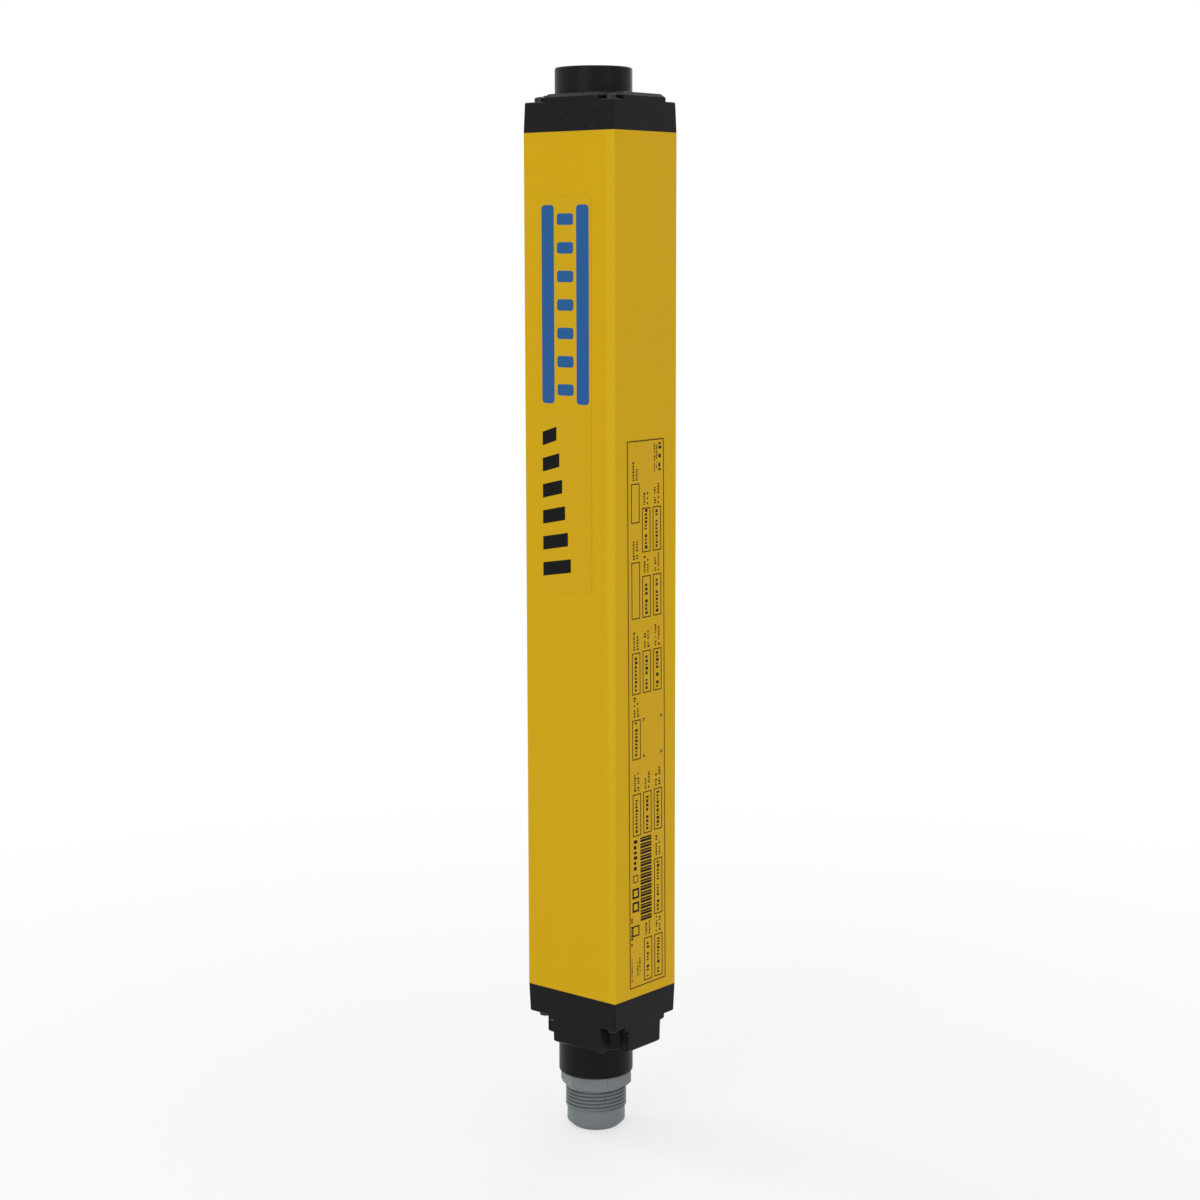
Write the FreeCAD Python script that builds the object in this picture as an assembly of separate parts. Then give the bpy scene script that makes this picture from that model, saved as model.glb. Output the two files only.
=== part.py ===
"""Safety light curtain bar: extruded housing, optics stack, end caps and device plug.

Frame: +Z runs up along the bar, -Y is the optical front, +Y the back.  The Z axis
is the common axis of the two swivel hubs, and the origin lies in the middle of
the lower hub's grip.  All lengths are in millimetres.
"""
import FreeCAD
import Part

import math
import os

Vector = FreeCAD.Vector

# --------------------------------------------------------------------------
# Driving dimensions
# --------------------------------------------------------------------------
# Housing section and length
section_width = 40.0            # X
section_depth = 48.0            # Y
section_corner_radius = 0.5
hub_to_front = 20.6             # hub axis to the front face
profile_length = 356.8
profile_wall = 2.0
cavity_corner_radius = 1.0

# Front window and its seat
screen_half_width = 15.0
screen_thickness = 2.0
screen_recess = 0.2
screen_side_gap = 0.2
seal_thickness = 0.4
seal_inset = 0.3                # seal edge back from the window's edge
lip_thickness = 1.8             # aluminium behind the window seat
beam_half_width = 11.0          # clear opening between the lips

# Screw ports and cap screws (M3)
screw_inset_x = 4.8
screw_inset_y = 5.4
port_radius = 3.2
screw_radius = 1.5
screw_thread_gap = 0.05
screw_hole_gap = 0.15
screw_bite = 10.0               # length held in the housing
screw_head_radius = 2.6
screw_head_height = 2.4
screw_dome = 0.7
hex_key = 2.0
hex_depth = 1.3
head_pocket_gap = 0.25

# Guide ribs on the side walls
rib_height = 1.4
rib_thickness = 1.2
guide_gap = 0.15
flange_depth = 12.0             # front face to the carriers' flange
flange_thickness = 2.0
board_depth = 31.0              # front face to the logic board
board_thickness = 1.6

# End caps
cap_plate = 12.1
cap_block = 3.0
block_front_margin = 10.8       # notch length along the side, at the front
block_back_margin = 8.4         # notch length along the side, at the back
block_half_width = 13.0         # half width of the block's front and back tongue
tongue_front_inset = 2.6
block_chamfer = 1.4
plate_chamfer = 0.35            # outer rim of the cap plates
cap_draft = 0.4                 # how far the cap plates' sides draw in up to their outer face
arm_depth = 11.3                # plate face to the arms' end, lower cap
arm_half_width = 10.4
arm_front_margin = 13.5
arm_back_margin = 8.4
arm_web = 2.8
arm_chamfer = 0.7
hub_radius = 15.8
upper_hub_rise = 13.9           # plate face to the upper hub's top
lower_hub_grip = 15.1
hub_edge = 0.8
hub_foot_step = 0.5             # the hub's root is wider by this, flush with the face around it
gate_mark_radius = 1.5
gate_mark_depth = 0.4
gate_mark_rise = 4.4
gate_mark_offset = 0.5          # from the hub axis towards the back

# Spigots, gaskets and coring of the caps
spigot_height = 5.0
spigot_gap = 0.3
spigot_wall = 1.6
gasket_thickness = 1.0
gasket_rim = 0.9
gasket_window_gap = 0.2
cap_floor = 3.0                 # plate left under the plus-shaped pocket
upper_core_radius = 12.4
upper_core_roof = 3.0
nut_bay_radius = 13.4
nut_bay_depth = 23.9            # from the plate's seat to the nut's floor

# Device plug
stem_radius = 11.0
stem_gap = 0.2
stem_above_floor = 5.5
collar_across_flats = 27.0
collar_turned_radius = 15.2
collar_height = 5.9
collar_chamfer = 1.2
thread_radius = 13.0            # M26 x 1.5
thread_length = 9.9
nose_radius = 12.4
nose_length = 8.6
nose_tip_radius = 10.2
nose_tip_height = 2.0
socket_radius = 9.2
insert_gap = 0.1
insert_recess = 10.8            # nose end to the insert's face
insert_length = 23.0
pin_radius = 0.6
pin_reach = 6.0
pin_tail = 2.0
pin_ring_radius = 6.6
pin_ring_count = 8
pin_inner_radius = 2.6
pin_inner_count = 3
earth_radius = 1.3
earth_angle = 90.0
pin_gap = 0.03
o_ring_radius = 13.3
o_ring_cord = 1.6
o_ring_groove = 1.8
locknut_radius = 13.2
locknut_height = 4.0
locknut_slots = 4
locknut_slot_width = 3.0
locknut_slot_depth = 1.0
locknut_gap = 0.05

# Optics stack
module_count = 3
beams_per_module = 5
pad_height = 12.0               # foam between the top module and the upper cap
stack_front = 6.0               # front face to the carriers' front
module_depth = 18.0
module_half_width = 11.0
flange_gap = 0.3
tunnel_front_radius = 6.0
tunnel_back_radius = 3.2
relief_length = 5.0
relief_depth = 14.0
relief_to_peg = 1.0
lens_plate_thickness = 1.4
lens_plate_half_width = 10.4
lens_radius = 5.6
lens_bulge = 1.7
end_gap = 0.2
diode_board_half_width = 10.0
peg_radius = 1.2
peg_gap = 0.1
peg_head_radius = 2.0
peg_head_height = 0.8
peg_offset = 8.0
peg_root = 1.0                  # how deep the pegs are rooted in the carrier
diode_radius = 2.5
diode_length = 5.5
diode_flange_radius = 2.9
diode_flange_height = 1.0
link_socket_half_width = 6.0
link_socket_height = 6.0
link_socket_depth = 2.4
ribbon_half_width = 5.0
ribbon_thickness = 0.6

# Display at the plug end
display_length = 34.8
display_frame_depth = 8.0
display_board_half_width = 11.0
display_board_length = 28.0
digit_half_width = 4.6
digit_height = 12.6
digit_front_gap = 0.4
light_radius = 1.5
light_pitch = 5.0
light_count = 3
window_gap = 0.15
header_half_width = 4.0
header_height = 2.6

# Logic board and its parts
logic_board_length = 200.0
chip_half = 7.0
chip_thickness = 1.4
chip_pitch = 30.0
chip_count = 2
capacitor_radius = 4.0
capacitor_height = 5.5
capacitor_pitch = 12.0
capacitor_count = 3
choke_half = 6.0
choke_height = 5.0
choke_corner = 1.0
wire_socket_half_width = 7.0
wire_socket_height = 6.0
wire_socket_depth = 9.0
wire_socket_rise = 3.0
wire_bundle_radius = 3.8
wire_bend_rise = 16.0

# Labels
film_thickness = 0.15
side_label_width = 27.3
side_label_height = 161.0
side_label_base = 170.4         # above the housing's lower end
side_label_offset = 1.75        # centre, from the hub axis
side_label_corner = 2.5
rating_label_width = 23.8
rating_label_height = 229.2
rating_label_base = 4.2
rating_label_offset = -0.5
rating_label_tilt = 0.45        # degrees, as stuck on by hand
rating_label_corner = 0.8

# Cutting tools
overrun = 1.0                   # how far a cutter runs past the face it opens

# --------------------------------------------------------------------------
# Levels and planes worked out from the sizes
# --------------------------------------------------------------------------
side = section_width / 2.0
front = -hub_to_front
back = front + section_depth
middle = (front + back) / 2.0
base = cap_plate + arm_depth + lower_hub_grip / 2.0     # housing's lower end
top = base + profile_length                             # housing's upper end
seat_depth = screen_recess + screen_thickness + seal_thickness
cavity_front = front + seat_depth + lip_thickness
cavity_back = back - profile_wall
cavity_side = side - profile_wall
screw_x = side - screw_inset_x
screw_front = front + screw_inset_y
screw_back = back - screw_inset_y
stack_low = base + spigot_height
stack_high = top - spigot_height
modules_low = stack_low + display_length
modules_high = stack_high - pad_height
module_length = (modules_high - modules_low) / module_count
beam_pitch = module_length / beams_per_module
carrier_front = front + stack_front
carrier_back = carrier_front + module_depth
flange_front = front + flange_depth
flange_half_width = cavity_side - flange_gap
board_front = front + board_depth
board_back = board_front + board_thickness
hub_low = -lower_hub_grip / 2.0
collar_low = hub_low - collar_height
thread_low = collar_low - thread_length
nose_low = thread_low - nose_length
nut_floor = base - nut_bay_depth
insert_low = nose_low + insert_recess
insert_high = insert_low + insert_length
earth_place = (
    pin_ring_radius * math.cos(math.radians(earth_angle)),
    pin_ring_radius * math.sin(math.radians(earth_angle)))
link_front = carrier_back + board_thickness
ribbon_front = link_front + link_socket_depth
ribbon_back = ribbon_front + ribbon_thickness
display_middle = stack_low + display_length / 2.0
digit_low = display_middle - digit_height / 2.0 + light_pitch
digit_front = carrier_front + digit_front_gap
display_board_front = carrier_front + display_frame_depth
display_board_back = display_board_front + board_thickness
header_low = display_middle - header_height / 2.0
socket_low = base + wire_socket_rise + spigot_height
parts_low = socket_low + wire_socket_height + capacitor_pitch


# --------------------------------------------------------------------------
# Helpers
# --------------------------------------------------------------------------
def box(x0, x1, y0, y1, z0, z1):
    """Return a block between two corners."""
    return Part.makeBox(x1 - x0, y1 - y0, z1 - z0, Vector(x0, y0, z0))


def rod(x, y, z0, z1, radius):
    """Return an upright cylinder."""
    return Part.makeCylinder(radius, z1 - z0, Vector(x, y, z0))


def rod_y(x, z, y0, y1, radius):
    """Return a cylinder along +Y."""
    return Part.makeCylinder(radius, y1 - y0, Vector(x, y0, z), Vector(0, 1, 0))


def cone_y(x, z, y0, y1, radius0, radius1):
    """Return a cone along +Y."""
    return Part.makeCone(radius0, radius1, y1 - y0, Vector(x, y0, z), Vector(0, 1, 0))


def upright_edges(shape):
    """Return the straight edges that run along Z."""
    edges = []
    for edge in shape.Edges:
        ends = [vertex.Point for vertex in edge.Vertexes]
        if len(ends) == 2 and abs(ends[0].x - ends[1].x) < 1e-6 and abs(ends[0].y - ends[1].y) < 1e-6:
            edges.append(edge)
    return edges


def edges_at(shape, level):
    """Return the edges that lie wholly at one height."""
    return [
        edge for edge in shape.Edges
        if abs(edge.BoundBox.ZMin - level) < 1e-6 and abs(edge.BoundBox.ZMax - level) < 1e-6
    ]


def rounded_block(x0, x1, y0, y1, z0, z1, radius):
    """Return a block with its four upright edges rounded."""
    block = box(x0, x1, y0, y1, z0, z1)
    return block.makeFillet(radius, upright_edges(block))


def prism(points, z0, z1):
    """Return an upright prism on a closed outline of (x, y) points."""
    corners = [Vector(x, y, z0) for x, y in points]
    face = Part.Face(Part.makePolygon(corners + corners[:1]))
    return face.extrude(Vector(0, 0, z1 - z0))


def hexagon_points(corner):
    """Return a hexagon's corners, the first one on +X."""
    return [
        (corner * math.cos(math.radians(60 * k)), corner * math.sin(math.radians(60 * k)))
        for k in range(6)]


def turned(points):
    """Return the solid turned about Z from an (r, z) outline."""
    corners = [Vector(r, 0, z) for r, z in points]
    face = Part.Face(Part.makePolygon(corners + corners[:1]))
    return face.revolve(Vector(0, 0, 0), Vector(0, 0, 1), 360)


def fused(shapes):
    """Return one solid made of several that overlap or share faces."""
    result = shapes[0]
    if len(shapes) > 1:
        result = result.multiFuse(shapes[1:])
    return result.removeSplitter()


def group(shapes):
    """Return a compound of separate solids."""
    return Part.makeCompound(shapes)


def screw_places():
    """Return the four cap screws' (x, y) places."""
    return [(x, y) for x in (-screw_x, screw_x) for y in (screw_front, screw_back)]


# --------------------------------------------------------------------------
# Housing, window and seals
# --------------------------------------------------------------------------
def make_housing():
    """Extrusion with window seat, screw ports and guide ribs."""
    shell = rounded_block(-side, side, front, back, base, top, section_corner_radius)
    cavity = rounded_block(
        -cavity_side, cavity_side, cavity_front, cavity_back, base, top, cavity_corner_radius)
    shell = shell.cut(cavity)

    ports = []
    for x, y in screw_places():
        outward = 1 if x > 0 else -1
        wall_x = outward * (side - profile_wall / 2.0)
        wall_y = cavity_front - lip_thickness / 2.0 if y < middle else cavity_back + profile_wall / 2.0
        ports.append(rod(x, y, base, top, port_radius))
        ports.append(box(min(x, wall_x), max(x, wall_x), min(y, wall_y), max(y, wall_y), base, top))
    ribs = []
    for start, thickness in ((flange_front, flange_thickness), (board_front, board_thickness)):
        for low in (start - guide_gap - rib_thickness, start + thickness + guide_gap):
            for sign in (-1, 1):
                edge = sign * (cavity_side - rib_height)
                root = sign * (cavity_side + profile_wall / 2.0)
                ribs.append(box(min(edge, root), max(edge, root), low, low + rib_thickness, base, top))
    shell = fused([shell] + ports + ribs)
    seat_half = screen_half_width + screen_side_gap
    shell = shell.cut(box(-seat_half, seat_half, front, front + seat_depth, base, top))
    shell = shell.cut(box(-beam_half_width, beam_half_width, front, cavity_front, base, top))
    for x, y in screw_places():
        shell = shell.cut(rod(x, y, base, top, screw_radius + screw_thread_gap))
    return shell


def make_screen():
    """Flat window glued into its seat."""
    low = front + screen_recess
    return box(-screen_half_width, screen_half_width, low, low + screen_thickness, base, top)


def make_seal(sign):
    """Adhesive strip under one long edge of the window."""
    inner = sign * (beam_half_width + seal_inset)
    outer = sign * (screen_half_width - seal_inset)
    high = front + seat_depth
    return box(min(inner, outer), max(inner, outer), high - seal_thickness, high, base, top)


# --------------------------------------------------------------------------
# End caps
# --------------------------------------------------------------------------
def cross_outline(half_width, low_y, high_y, web):
    """Outline of a block with four corner notches; web bevels the notches' inner corners."""
    tongue_front = front + tongue_front_inset
    right = [
        (half_width, tongue_front), (half_width, low_y - web), (half_width + web, low_y), (side, low_y),
        (side, high_y), (half_width + web, high_y), (half_width, high_y + web), (half_width, back),
    ]
    if web == 0.0:
        right = [point for index, point in enumerate(right) if index not in (2, 5)]
    left = [(-x, y) for x, y in reversed(right)]
    return right + left


def mirrored(shape, upper):
    """Turn a shape drawn for the upper cap's plate face at Z = 0 to the end it belongs to."""
    placed = shape.copy()
    if upper:
        placed.translate(Vector(0, 0, top))
        return placed
    placed = placed.mirror(Vector(0, 0, 0), Vector(0, 0, 1))
    placed.translate(Vector(0, 0, base))
    return placed


def drafted_blank(height):
    """Return the housing's section at the seat, drawn in by the caps' draft up to a height."""
    inset = cap_draft * height / cap_plate
    blank = Part.makeWedge(
        -side, 0, -back, -back + inset, -side + inset, side, height, -front, -front - inset, side - inset)
    blank.rotate(Vector(0, 0, 0), Vector(1, 0, 0), 90)
    corners = [edge for edge in blank.Edges if edge.BoundBox.ZLength > height / 2.0]
    return blank.makeFillet(section_corner_radius, corners)


def cap_blank():
    """Plate and notched block, drawn outwards from the seat at Z = 0."""
    plate = drafted_blank(cap_plate)
    plate = plate.makeChamfer(plate_chamfer, edges_at(plate, cap_plate))
    outline = cross_outline(
        block_half_width, front + block_front_margin, back - block_back_margin, 0.0)
    block_end = cap_plate + cap_block
    block = prism(outline, 0, block_end).common(drafted_blank(block_end))
    block = block.makeChamfer(block_chamfer, edges_at(block, block_end))
    return plate.fuse(block)


def plus_shape(inset, z0, z1):
    """Plus-shaped column that clears the screw ports and guide ribs by the spigot gap."""
    wide_x = cavity_side - rib_height - spigot_gap - inset
    wide_low = screw_front + port_radius + spigot_gap + inset
    wide_high = screw_back - port_radius - spigot_gap - inset
    narrow_x = screw_x - port_radius - spigot_gap - inset
    narrow_low = cavity_front + spigot_gap + inset
    narrow_high = cavity_back - spigot_gap - inset
    wide = box(-wide_x, wide_x, wide_low, wide_high, z0, z1)
    narrow = box(-narrow_x, narrow_x, narrow_low, narrow_high, z0, z1)
    return fused([wide, narrow])


def hub_blank(face, height):
    """Swivel hub with its wider root up to the face around it and its rounded end beyond."""
    hub = Part.makeCylinder(hub_radius, height)
    hub = hub.makeFillet(hub_edge, edges_at(hub, height))
    return hub.fuse(Part.makeCylinder(hub_radius + hub_foot_step, face))


def cut_common(cap):
    """Cut the gasket recess, screw holes and head pockets that both caps share."""
    recess = box(
        -(side - gasket_rim), side - gasket_rim, front + gasket_rim, back - gasket_rim,
        0, gasket_thickness)
    cap = cap.cut(recess.cut(plus_shape(0.0, 0, gasket_thickness)))
    for x, y in screw_places():
        cap = cap.cut(rod(x, y, 0, cap_plate, screw_radius + screw_hole_gap))
        cap = cap.cut(rod(x, y, cap_plate, cap_plate + arm_depth, screw_head_radius + head_pocket_gap))
    return cap


def make_upper_cap():
    """Closed cap with the upper swivel hub."""
    hub_top = cap_plate + upper_hub_rise
    cap = cap_blank().fuse(hub_blank(cap_plate + cap_block, hub_top))
    cap = cap.fuse(plus_shape(0.0, -spigot_height, gasket_thickness))
    cap = cut_common(cap)
    cap = cap.cut(plus_shape(spigot_wall, -spigot_height, cap_plate - cap_floor))
    cap = cap.cut(rod(0, 0, 0, hub_top - upper_core_roof, upper_core_radius))
    mark = Part.makeCylinder(
        gate_mark_radius, 2 * gate_mark_depth,
        Vector(side - gate_mark_depth, gate_mark_offset, gate_mark_rise), Vector(1, 0, 0))
    return mirrored(cap.cut(mark).removeSplitter(), True)


def make_lower_cap():
    """Open cap with arms, the lower swivel hub and the plug's seat."""
    hub_end = base - hub_low
    arm_end = cap_plate + arm_depth
    outline = cross_outline(
        arm_half_width, front + arm_front_margin, back - arm_back_margin, arm_web)
    arms = prism(outline, 0, arm_end).common(drafted_blank(arm_end))
    arms = arms.makeChamfer(arm_chamfer, edges_at(arms, arm_end))
    cap = cap_blank().fuse(arms).fuse(hub_blank(arm_end, hub_end))
    cap = cap.fuse(plus_shape(0.0, -spigot_height, gasket_thickness))
    cap = cut_common(cap)
    cap = cap.cut(plus_shape(spigot_wall, -spigot_height, cap_plate - cap_floor))
    cap = cap.cut(rod(0, 0, 0, nut_bay_depth, nut_bay_radius))
    cap = cap.cut(rod(0, 0, 0, hub_end, stem_radius + stem_gap))
    groove_inner = o_ring_radius - o_ring_groove / 2.0
    groove_outer = o_ring_radius + o_ring_groove / 2.0
    groove = rod(0, 0, hub_end - o_ring_cord, hub_end, groove_outer)
    cap = cap.cut(groove.cut(rod(0, 0, hub_end - o_ring_cord, hub_end, groove_inner)))
    return mirrored(cap.removeSplitter(), False)


def make_gasket(upper):
    """Flat gasket in the cap's recess, open for the spigot and the screws."""
    sheet = box(
        -(side - gasket_rim), side - gasket_rim, front + gasket_rim, back - gasket_rim,
        0, gasket_thickness)
    sheet = sheet.cut(plus_shape(-gasket_window_gap, 0, gasket_thickness))
    for x, y in screw_places():
        sheet = sheet.cut(rod(x, y, 0, gasket_thickness, screw_radius + screw_hole_gap))
    return mirrored(sheet, upper)


def cap_screw(x, y):
    """One domed screw, drawn with its head on the plate face and its shank towards -Z."""
    low = cap_plate
    high = cap_plate + screw_head_height
    rim = high - screw_dome
    crown = (screw_head_radius ** 2 + screw_dome ** 2) / (2.0 * screw_dome)
    half_angle = math.asin(screw_head_radius / crown) / 2.0
    half_way = Vector(crown * math.sin(half_angle), 0, high - crown * (1.0 - math.cos(half_angle)))
    dome = Part.Arc(Vector(0, 0, high), half_way, Vector(screw_head_radius, 0, rim)).toShape()
    sides = Part.makePolygon([
        Vector(screw_head_radius, 0, rim), Vector(screw_head_radius, 0, low),
        Vector(screw_radius, 0, low), Vector(screw_radius, 0, -screw_bite),
        Vector(0, 0, -screw_bite), Vector(0, 0, high)])
    face = Part.Face(Part.Wire([dome] + sides.Edges))
    screw = face.revolve(Vector(0, 0, 0), Vector(0, 0, 1), 360)
    socket = prism(hexagon_points(hex_key / math.sqrt(3)), high - hex_depth, high + hex_depth)
    screw = screw.cut(socket)
    screw.translate(Vector(x, y, 0))
    return screw


def make_cap_screws(upper):
    """The four screws of one cap."""
    return group([mirrored(cap_screw(x, y), upper) for x, y in screw_places()])


# --------------------------------------------------------------------------
# Device plug
# --------------------------------------------------------------------------
def make_connector_shell():
    """Plug shell: stem, hexagon collar, thread blank and nose round an open socket."""
    stem_high = nut_floor + stem_above_floor
    body = turned([
        (0, nose_low), (nose_tip_radius, nose_low), (nose_radius, nose_low + nose_tip_height),
        (nose_radius, thread_low), (thread_radius, thread_low), (thread_radius, collar_low),
        (stem_radius, collar_low), (stem_radius, stem_high), (0, stem_high)])
    hexagon = prism(hexagon_points(collar_across_flats / math.sqrt(3)), collar_low, hub_low)
    trim = turned([
        (0, collar_low), (collar_turned_radius - collar_chamfer, collar_low),
        (collar_turned_radius, collar_low + collar_chamfer), (collar_turned_radius, hub_low),
        (0, hub_low)])
    shell = fused([body, hexagon.common(trim)])
    return shell.cut(rod(0, 0, nose_low, stem_high, socket_radius))


def pin_places():
    """Return the signal pins' (x, y) places: an outer ring with a gap for earth, and an inner ring."""
    places = []
    for k in range(pin_ring_count):
        angle = math.radians(earth_angle + 360.0 * (k + 1) / (pin_ring_count + 1))
        places.append((pin_ring_radius * math.cos(angle), pin_ring_radius * math.sin(angle)))
    for k in range(pin_inner_count):
        angle = math.radians(earth_angle + 360.0 * k / pin_inner_count)
        places.append((pin_inner_radius * math.cos(angle), pin_inner_radius * math.sin(angle)))
    return places


def make_connector_insert():
    """Insulator that carries the contacts."""
    insert = rod(0, 0, insert_low, insert_high, socket_radius - insert_gap)
    holes = [rod(x, y, insert_low, insert_high, pin_radius + pin_gap) for x, y in pin_places()]
    holes.append(rod(*earth_place, insert_low, insert_high, earth_radius + pin_gap))
    return insert.cut(holes)


def make_connector_pins():
    """Signal contacts, from their free tips to their wire tails."""
    return group([
        rod(x, y, insert_low - pin_reach, insert_high + pin_tail, pin_radius) for x, y in pin_places()])


def make_earth_contact():
    """Thicker earth contact in the outer ring's gap."""
    return rod(*earth_place, insert_low - pin_reach, insert_high + pin_tail, earth_radius)


def make_o_ring():
    """Ring between the hub's end and the collar."""
    return Part.makeTorus(o_ring_radius, o_ring_cord / 2.0, Vector(0, 0, hub_low + o_ring_cord / 2.0))


def make_locknut():
    """Slotted ring nut on the stem, inside the cap."""
    high = nut_floor + locknut_height
    nut = rod(0, 0, nut_floor, high, locknut_radius).cut(
        rod(0, 0, nut_floor, high, stem_radius + locknut_gap))
    for k in range(locknut_slots):
        slot = box(
            locknut_radius - locknut_slot_depth, locknut_radius + overrun,
            -locknut_slot_width / 2.0, locknut_slot_width / 2.0, nut_floor, high)
        slot.rotate(Vector(0, 0, 0), Vector(0, 0, 1), 360.0 * k / locknut_slots + 45.0)
        nut = nut.cut(slot)
    return nut


# --------------------------------------------------------------------------
# Optics stack
# --------------------------------------------------------------------------
def module_base(index):
    """Return the height of a module's lower end."""
    return modules_low + index * module_length


def beam_heights(index):
    """Return the heights of one module's beams."""
    return [module_base(index) + beam_pitch * (k + 0.5) for k in range(beams_per_module)]


def peg_heights(index):
    """Return the heights of the pegs that hold a module's board."""
    beams = beam_heights(index)
    return [(beams[0] + beams[1]) / 2.0, (beams[-2] + beams[-1]) / 2.0]


def flanged_body(low, high, depth):
    """Carrier block with the side flange that runs in the housing's guides."""
    body = box(-module_half_width, module_half_width, carrier_front, carrier_front + depth, low, high)
    flange = box(
        -flange_half_width, flange_half_width, flange_front, flange_front + flange_thickness, low, high)
    return fused([body, flange])


def make_module(index):
    """Moulded carrier with a tapered light tunnel for each beam."""
    low = module_base(index)
    module = flanged_body(low, low + module_length, module_depth)
    relief_half_width = peg_offset - peg_head_radius - relief_to_peg
    cuts = []
    for height in beam_heights(index):
        cuts.append(cone_y(
            0, height, carrier_front, carrier_back, tunnel_front_radius, tunnel_back_radius))
    for height in beam_heights(index)[:-1]:
        between = height + beam_pitch / 2.0
        cuts.append(box(
            -relief_half_width, relief_half_width, carrier_back - relief_depth, carrier_back,
            between - relief_length / 2.0, between + relief_length / 2.0))
    module = module.cut(cuts)
    pegs = []
    for height in peg_heights(index):
        for x in (-peg_offset, peg_offset):
            board_rear = carrier_back + board_thickness
            pegs.append(rod_y(x, height, carrier_back - peg_root, board_rear, peg_radius))
            pegs.append(rod_y(x, height, board_rear, board_rear + peg_head_height, peg_head_radius))
    return fused([module] + pegs)


def make_lens_strip(index):
    """Clear strip with one lens for each beam."""
    low = module_base(index) + end_gap
    high = module_base(index) + module_length - end_gap
    strip = box(
        -lens_plate_half_width, lens_plate_half_width,
        carrier_front - lens_plate_thickness, carrier_front, low, high)
    sphere_radius = (lens_radius ** 2 + lens_bulge ** 2) / (2.0 * lens_bulge)
    centre_y = carrier_front + lens_bulge - sphere_radius
    lenses = []
    for height in beam_heights(index):
        ball = Part.makeSphere(sphere_radius, Vector(0, centre_y, height))
        lenses.append(ball.common(rod_y(
            0, height, carrier_front - lens_plate_thickness / 2.0,
            carrier_front + lens_bulge + overrun, lens_radius)))
    return fused([strip] + lenses)


def make_diode_board(index):
    """Printed board on the back of a module."""
    low = module_base(index) + end_gap
    high = module_base(index) + module_length - end_gap
    board = box(
        -diode_board_half_width, diode_board_half_width, carrier_back, carrier_back + board_thickness,
        low, high)
    holes = [
        rod_y(x, height, carrier_back, carrier_back + board_thickness, peg_radius + peg_gap)
        for height in peg_heights(index) for x in (-peg_offset, peg_offset)]
    return board.cut(holes)


def make_diode(height):
    """One flanged, domed diode that looks down its tunnel."""
    body = rod_y(0, height, carrier_back - diode_length + diode_radius, carrier_back, diode_radius)
    dome = Part.makeSphere(diode_radius, Vector(0, carrier_back - diode_length + diode_radius, height))
    flange = rod_y(0, height, carrier_back - diode_flange_height, carrier_back, diode_flange_radius)
    return fused([body, dome, flange])


def make_diodes(index):
    """The diodes of one module."""
    return group([make_diode(height) for height in beam_heights(index)])


def link_heights():
    """Return the heights of the sockets under the ribbon cable."""
    return [module_base(k) + module_length / 2.0 for k in range(module_count)]


def make_link_sockets():
    """Sockets that join the boards to the ribbon cable."""
    half = link_socket_height / 2.0
    logic_link_height = link_heights()[0] + 2.0 * link_socket_height
    sockets = [
        box(-link_socket_half_width, link_socket_half_width, link_front, ribbon_front,
            height - half, height + half) for height in link_heights()]
    sockets.append(box(
        -link_socket_half_width, link_socket_half_width, ribbon_back, board_front,
        logic_link_height - half, logic_link_height + half))
    return group(sockets)


def make_ribbon_cable():
    """Flat cable along the back of the boards."""
    half = link_socket_height / 2.0
    return box(
        -ribbon_half_width, ribbon_half_width, ribbon_front, ribbon_back,
        link_heights()[0] - half, link_heights()[-1] + half)


# --------------------------------------------------------------------------
# Display, logic board and wiring
# --------------------------------------------------------------------------
def light_places():
    """Return the status lights' (x, z) places in a row below the digit."""
    start = -light_pitch * (light_count - 1) / 2.0
    return [(start + light_pitch * k, digit_low - light_pitch) for k in range(light_count)]


def make_display_carrier():
    """Frame that holds the digit and the status lights behind the window."""
    carrier = flanged_body(stack_low, modules_low, display_frame_depth)
    cuts = [box(
        -digit_half_width - window_gap, digit_half_width + window_gap,
        carrier_front, display_board_front, digit_low - window_gap, digit_low + digit_height + window_gap)]
    for x, z in light_places():
        cuts.append(rod_y(x, z, carrier_front, display_board_front, light_radius + window_gap))
    return carrier.cut(cuts)


def make_display_board():
    """Small board behind the display frame."""
    half = display_board_length / 2.0
    return box(
        -display_board_half_width, display_board_half_width, display_board_front, display_board_back,
        display_middle - half, display_middle + half)


def make_segment_display():
    """Body of the single-digit display."""
    return box(
        -digit_half_width, digit_half_width, digit_front, display_board_front,
        digit_low, digit_low + digit_height)


def make_status_lights():
    """Round status lights."""
    return group([
        rod_y(x, z, digit_front, display_board_front, light_radius) for x, z in light_places()])


def make_board_header():
    """Pin header between the display board and the logic board."""
    return box(
        -header_half_width, header_half_width, display_board_back, board_front,
        header_low, header_low + header_height)


def make_logic_board():
    """Long board in the rear pair of guides."""
    return box(
        -flange_half_width, flange_half_width, board_front, board_back,
        stack_low, stack_low + logic_board_length)


def make_wire_socket():
    """Socket for the plug's wires."""
    return box(
        -wire_socket_half_width, wire_socket_half_width, board_back, board_back + wire_socket_depth,
        socket_low, socket_low + wire_socket_height)


def make_capacitors():
    """Row of capacitors on the logic board."""
    return group([
        rod_y(0, parts_low + capacitor_pitch * k, board_back, board_back + capacitor_height,
              capacitor_radius) for k in range(capacitor_count)])


def make_power_choke():
    """Choke above the capacitors."""
    low = parts_low + capacitor_pitch * capacitor_count
    return rounded_block(
        -choke_half, choke_half, board_back, board_back + choke_height, low, low + 2 * choke_half,
        choke_corner)


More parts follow.
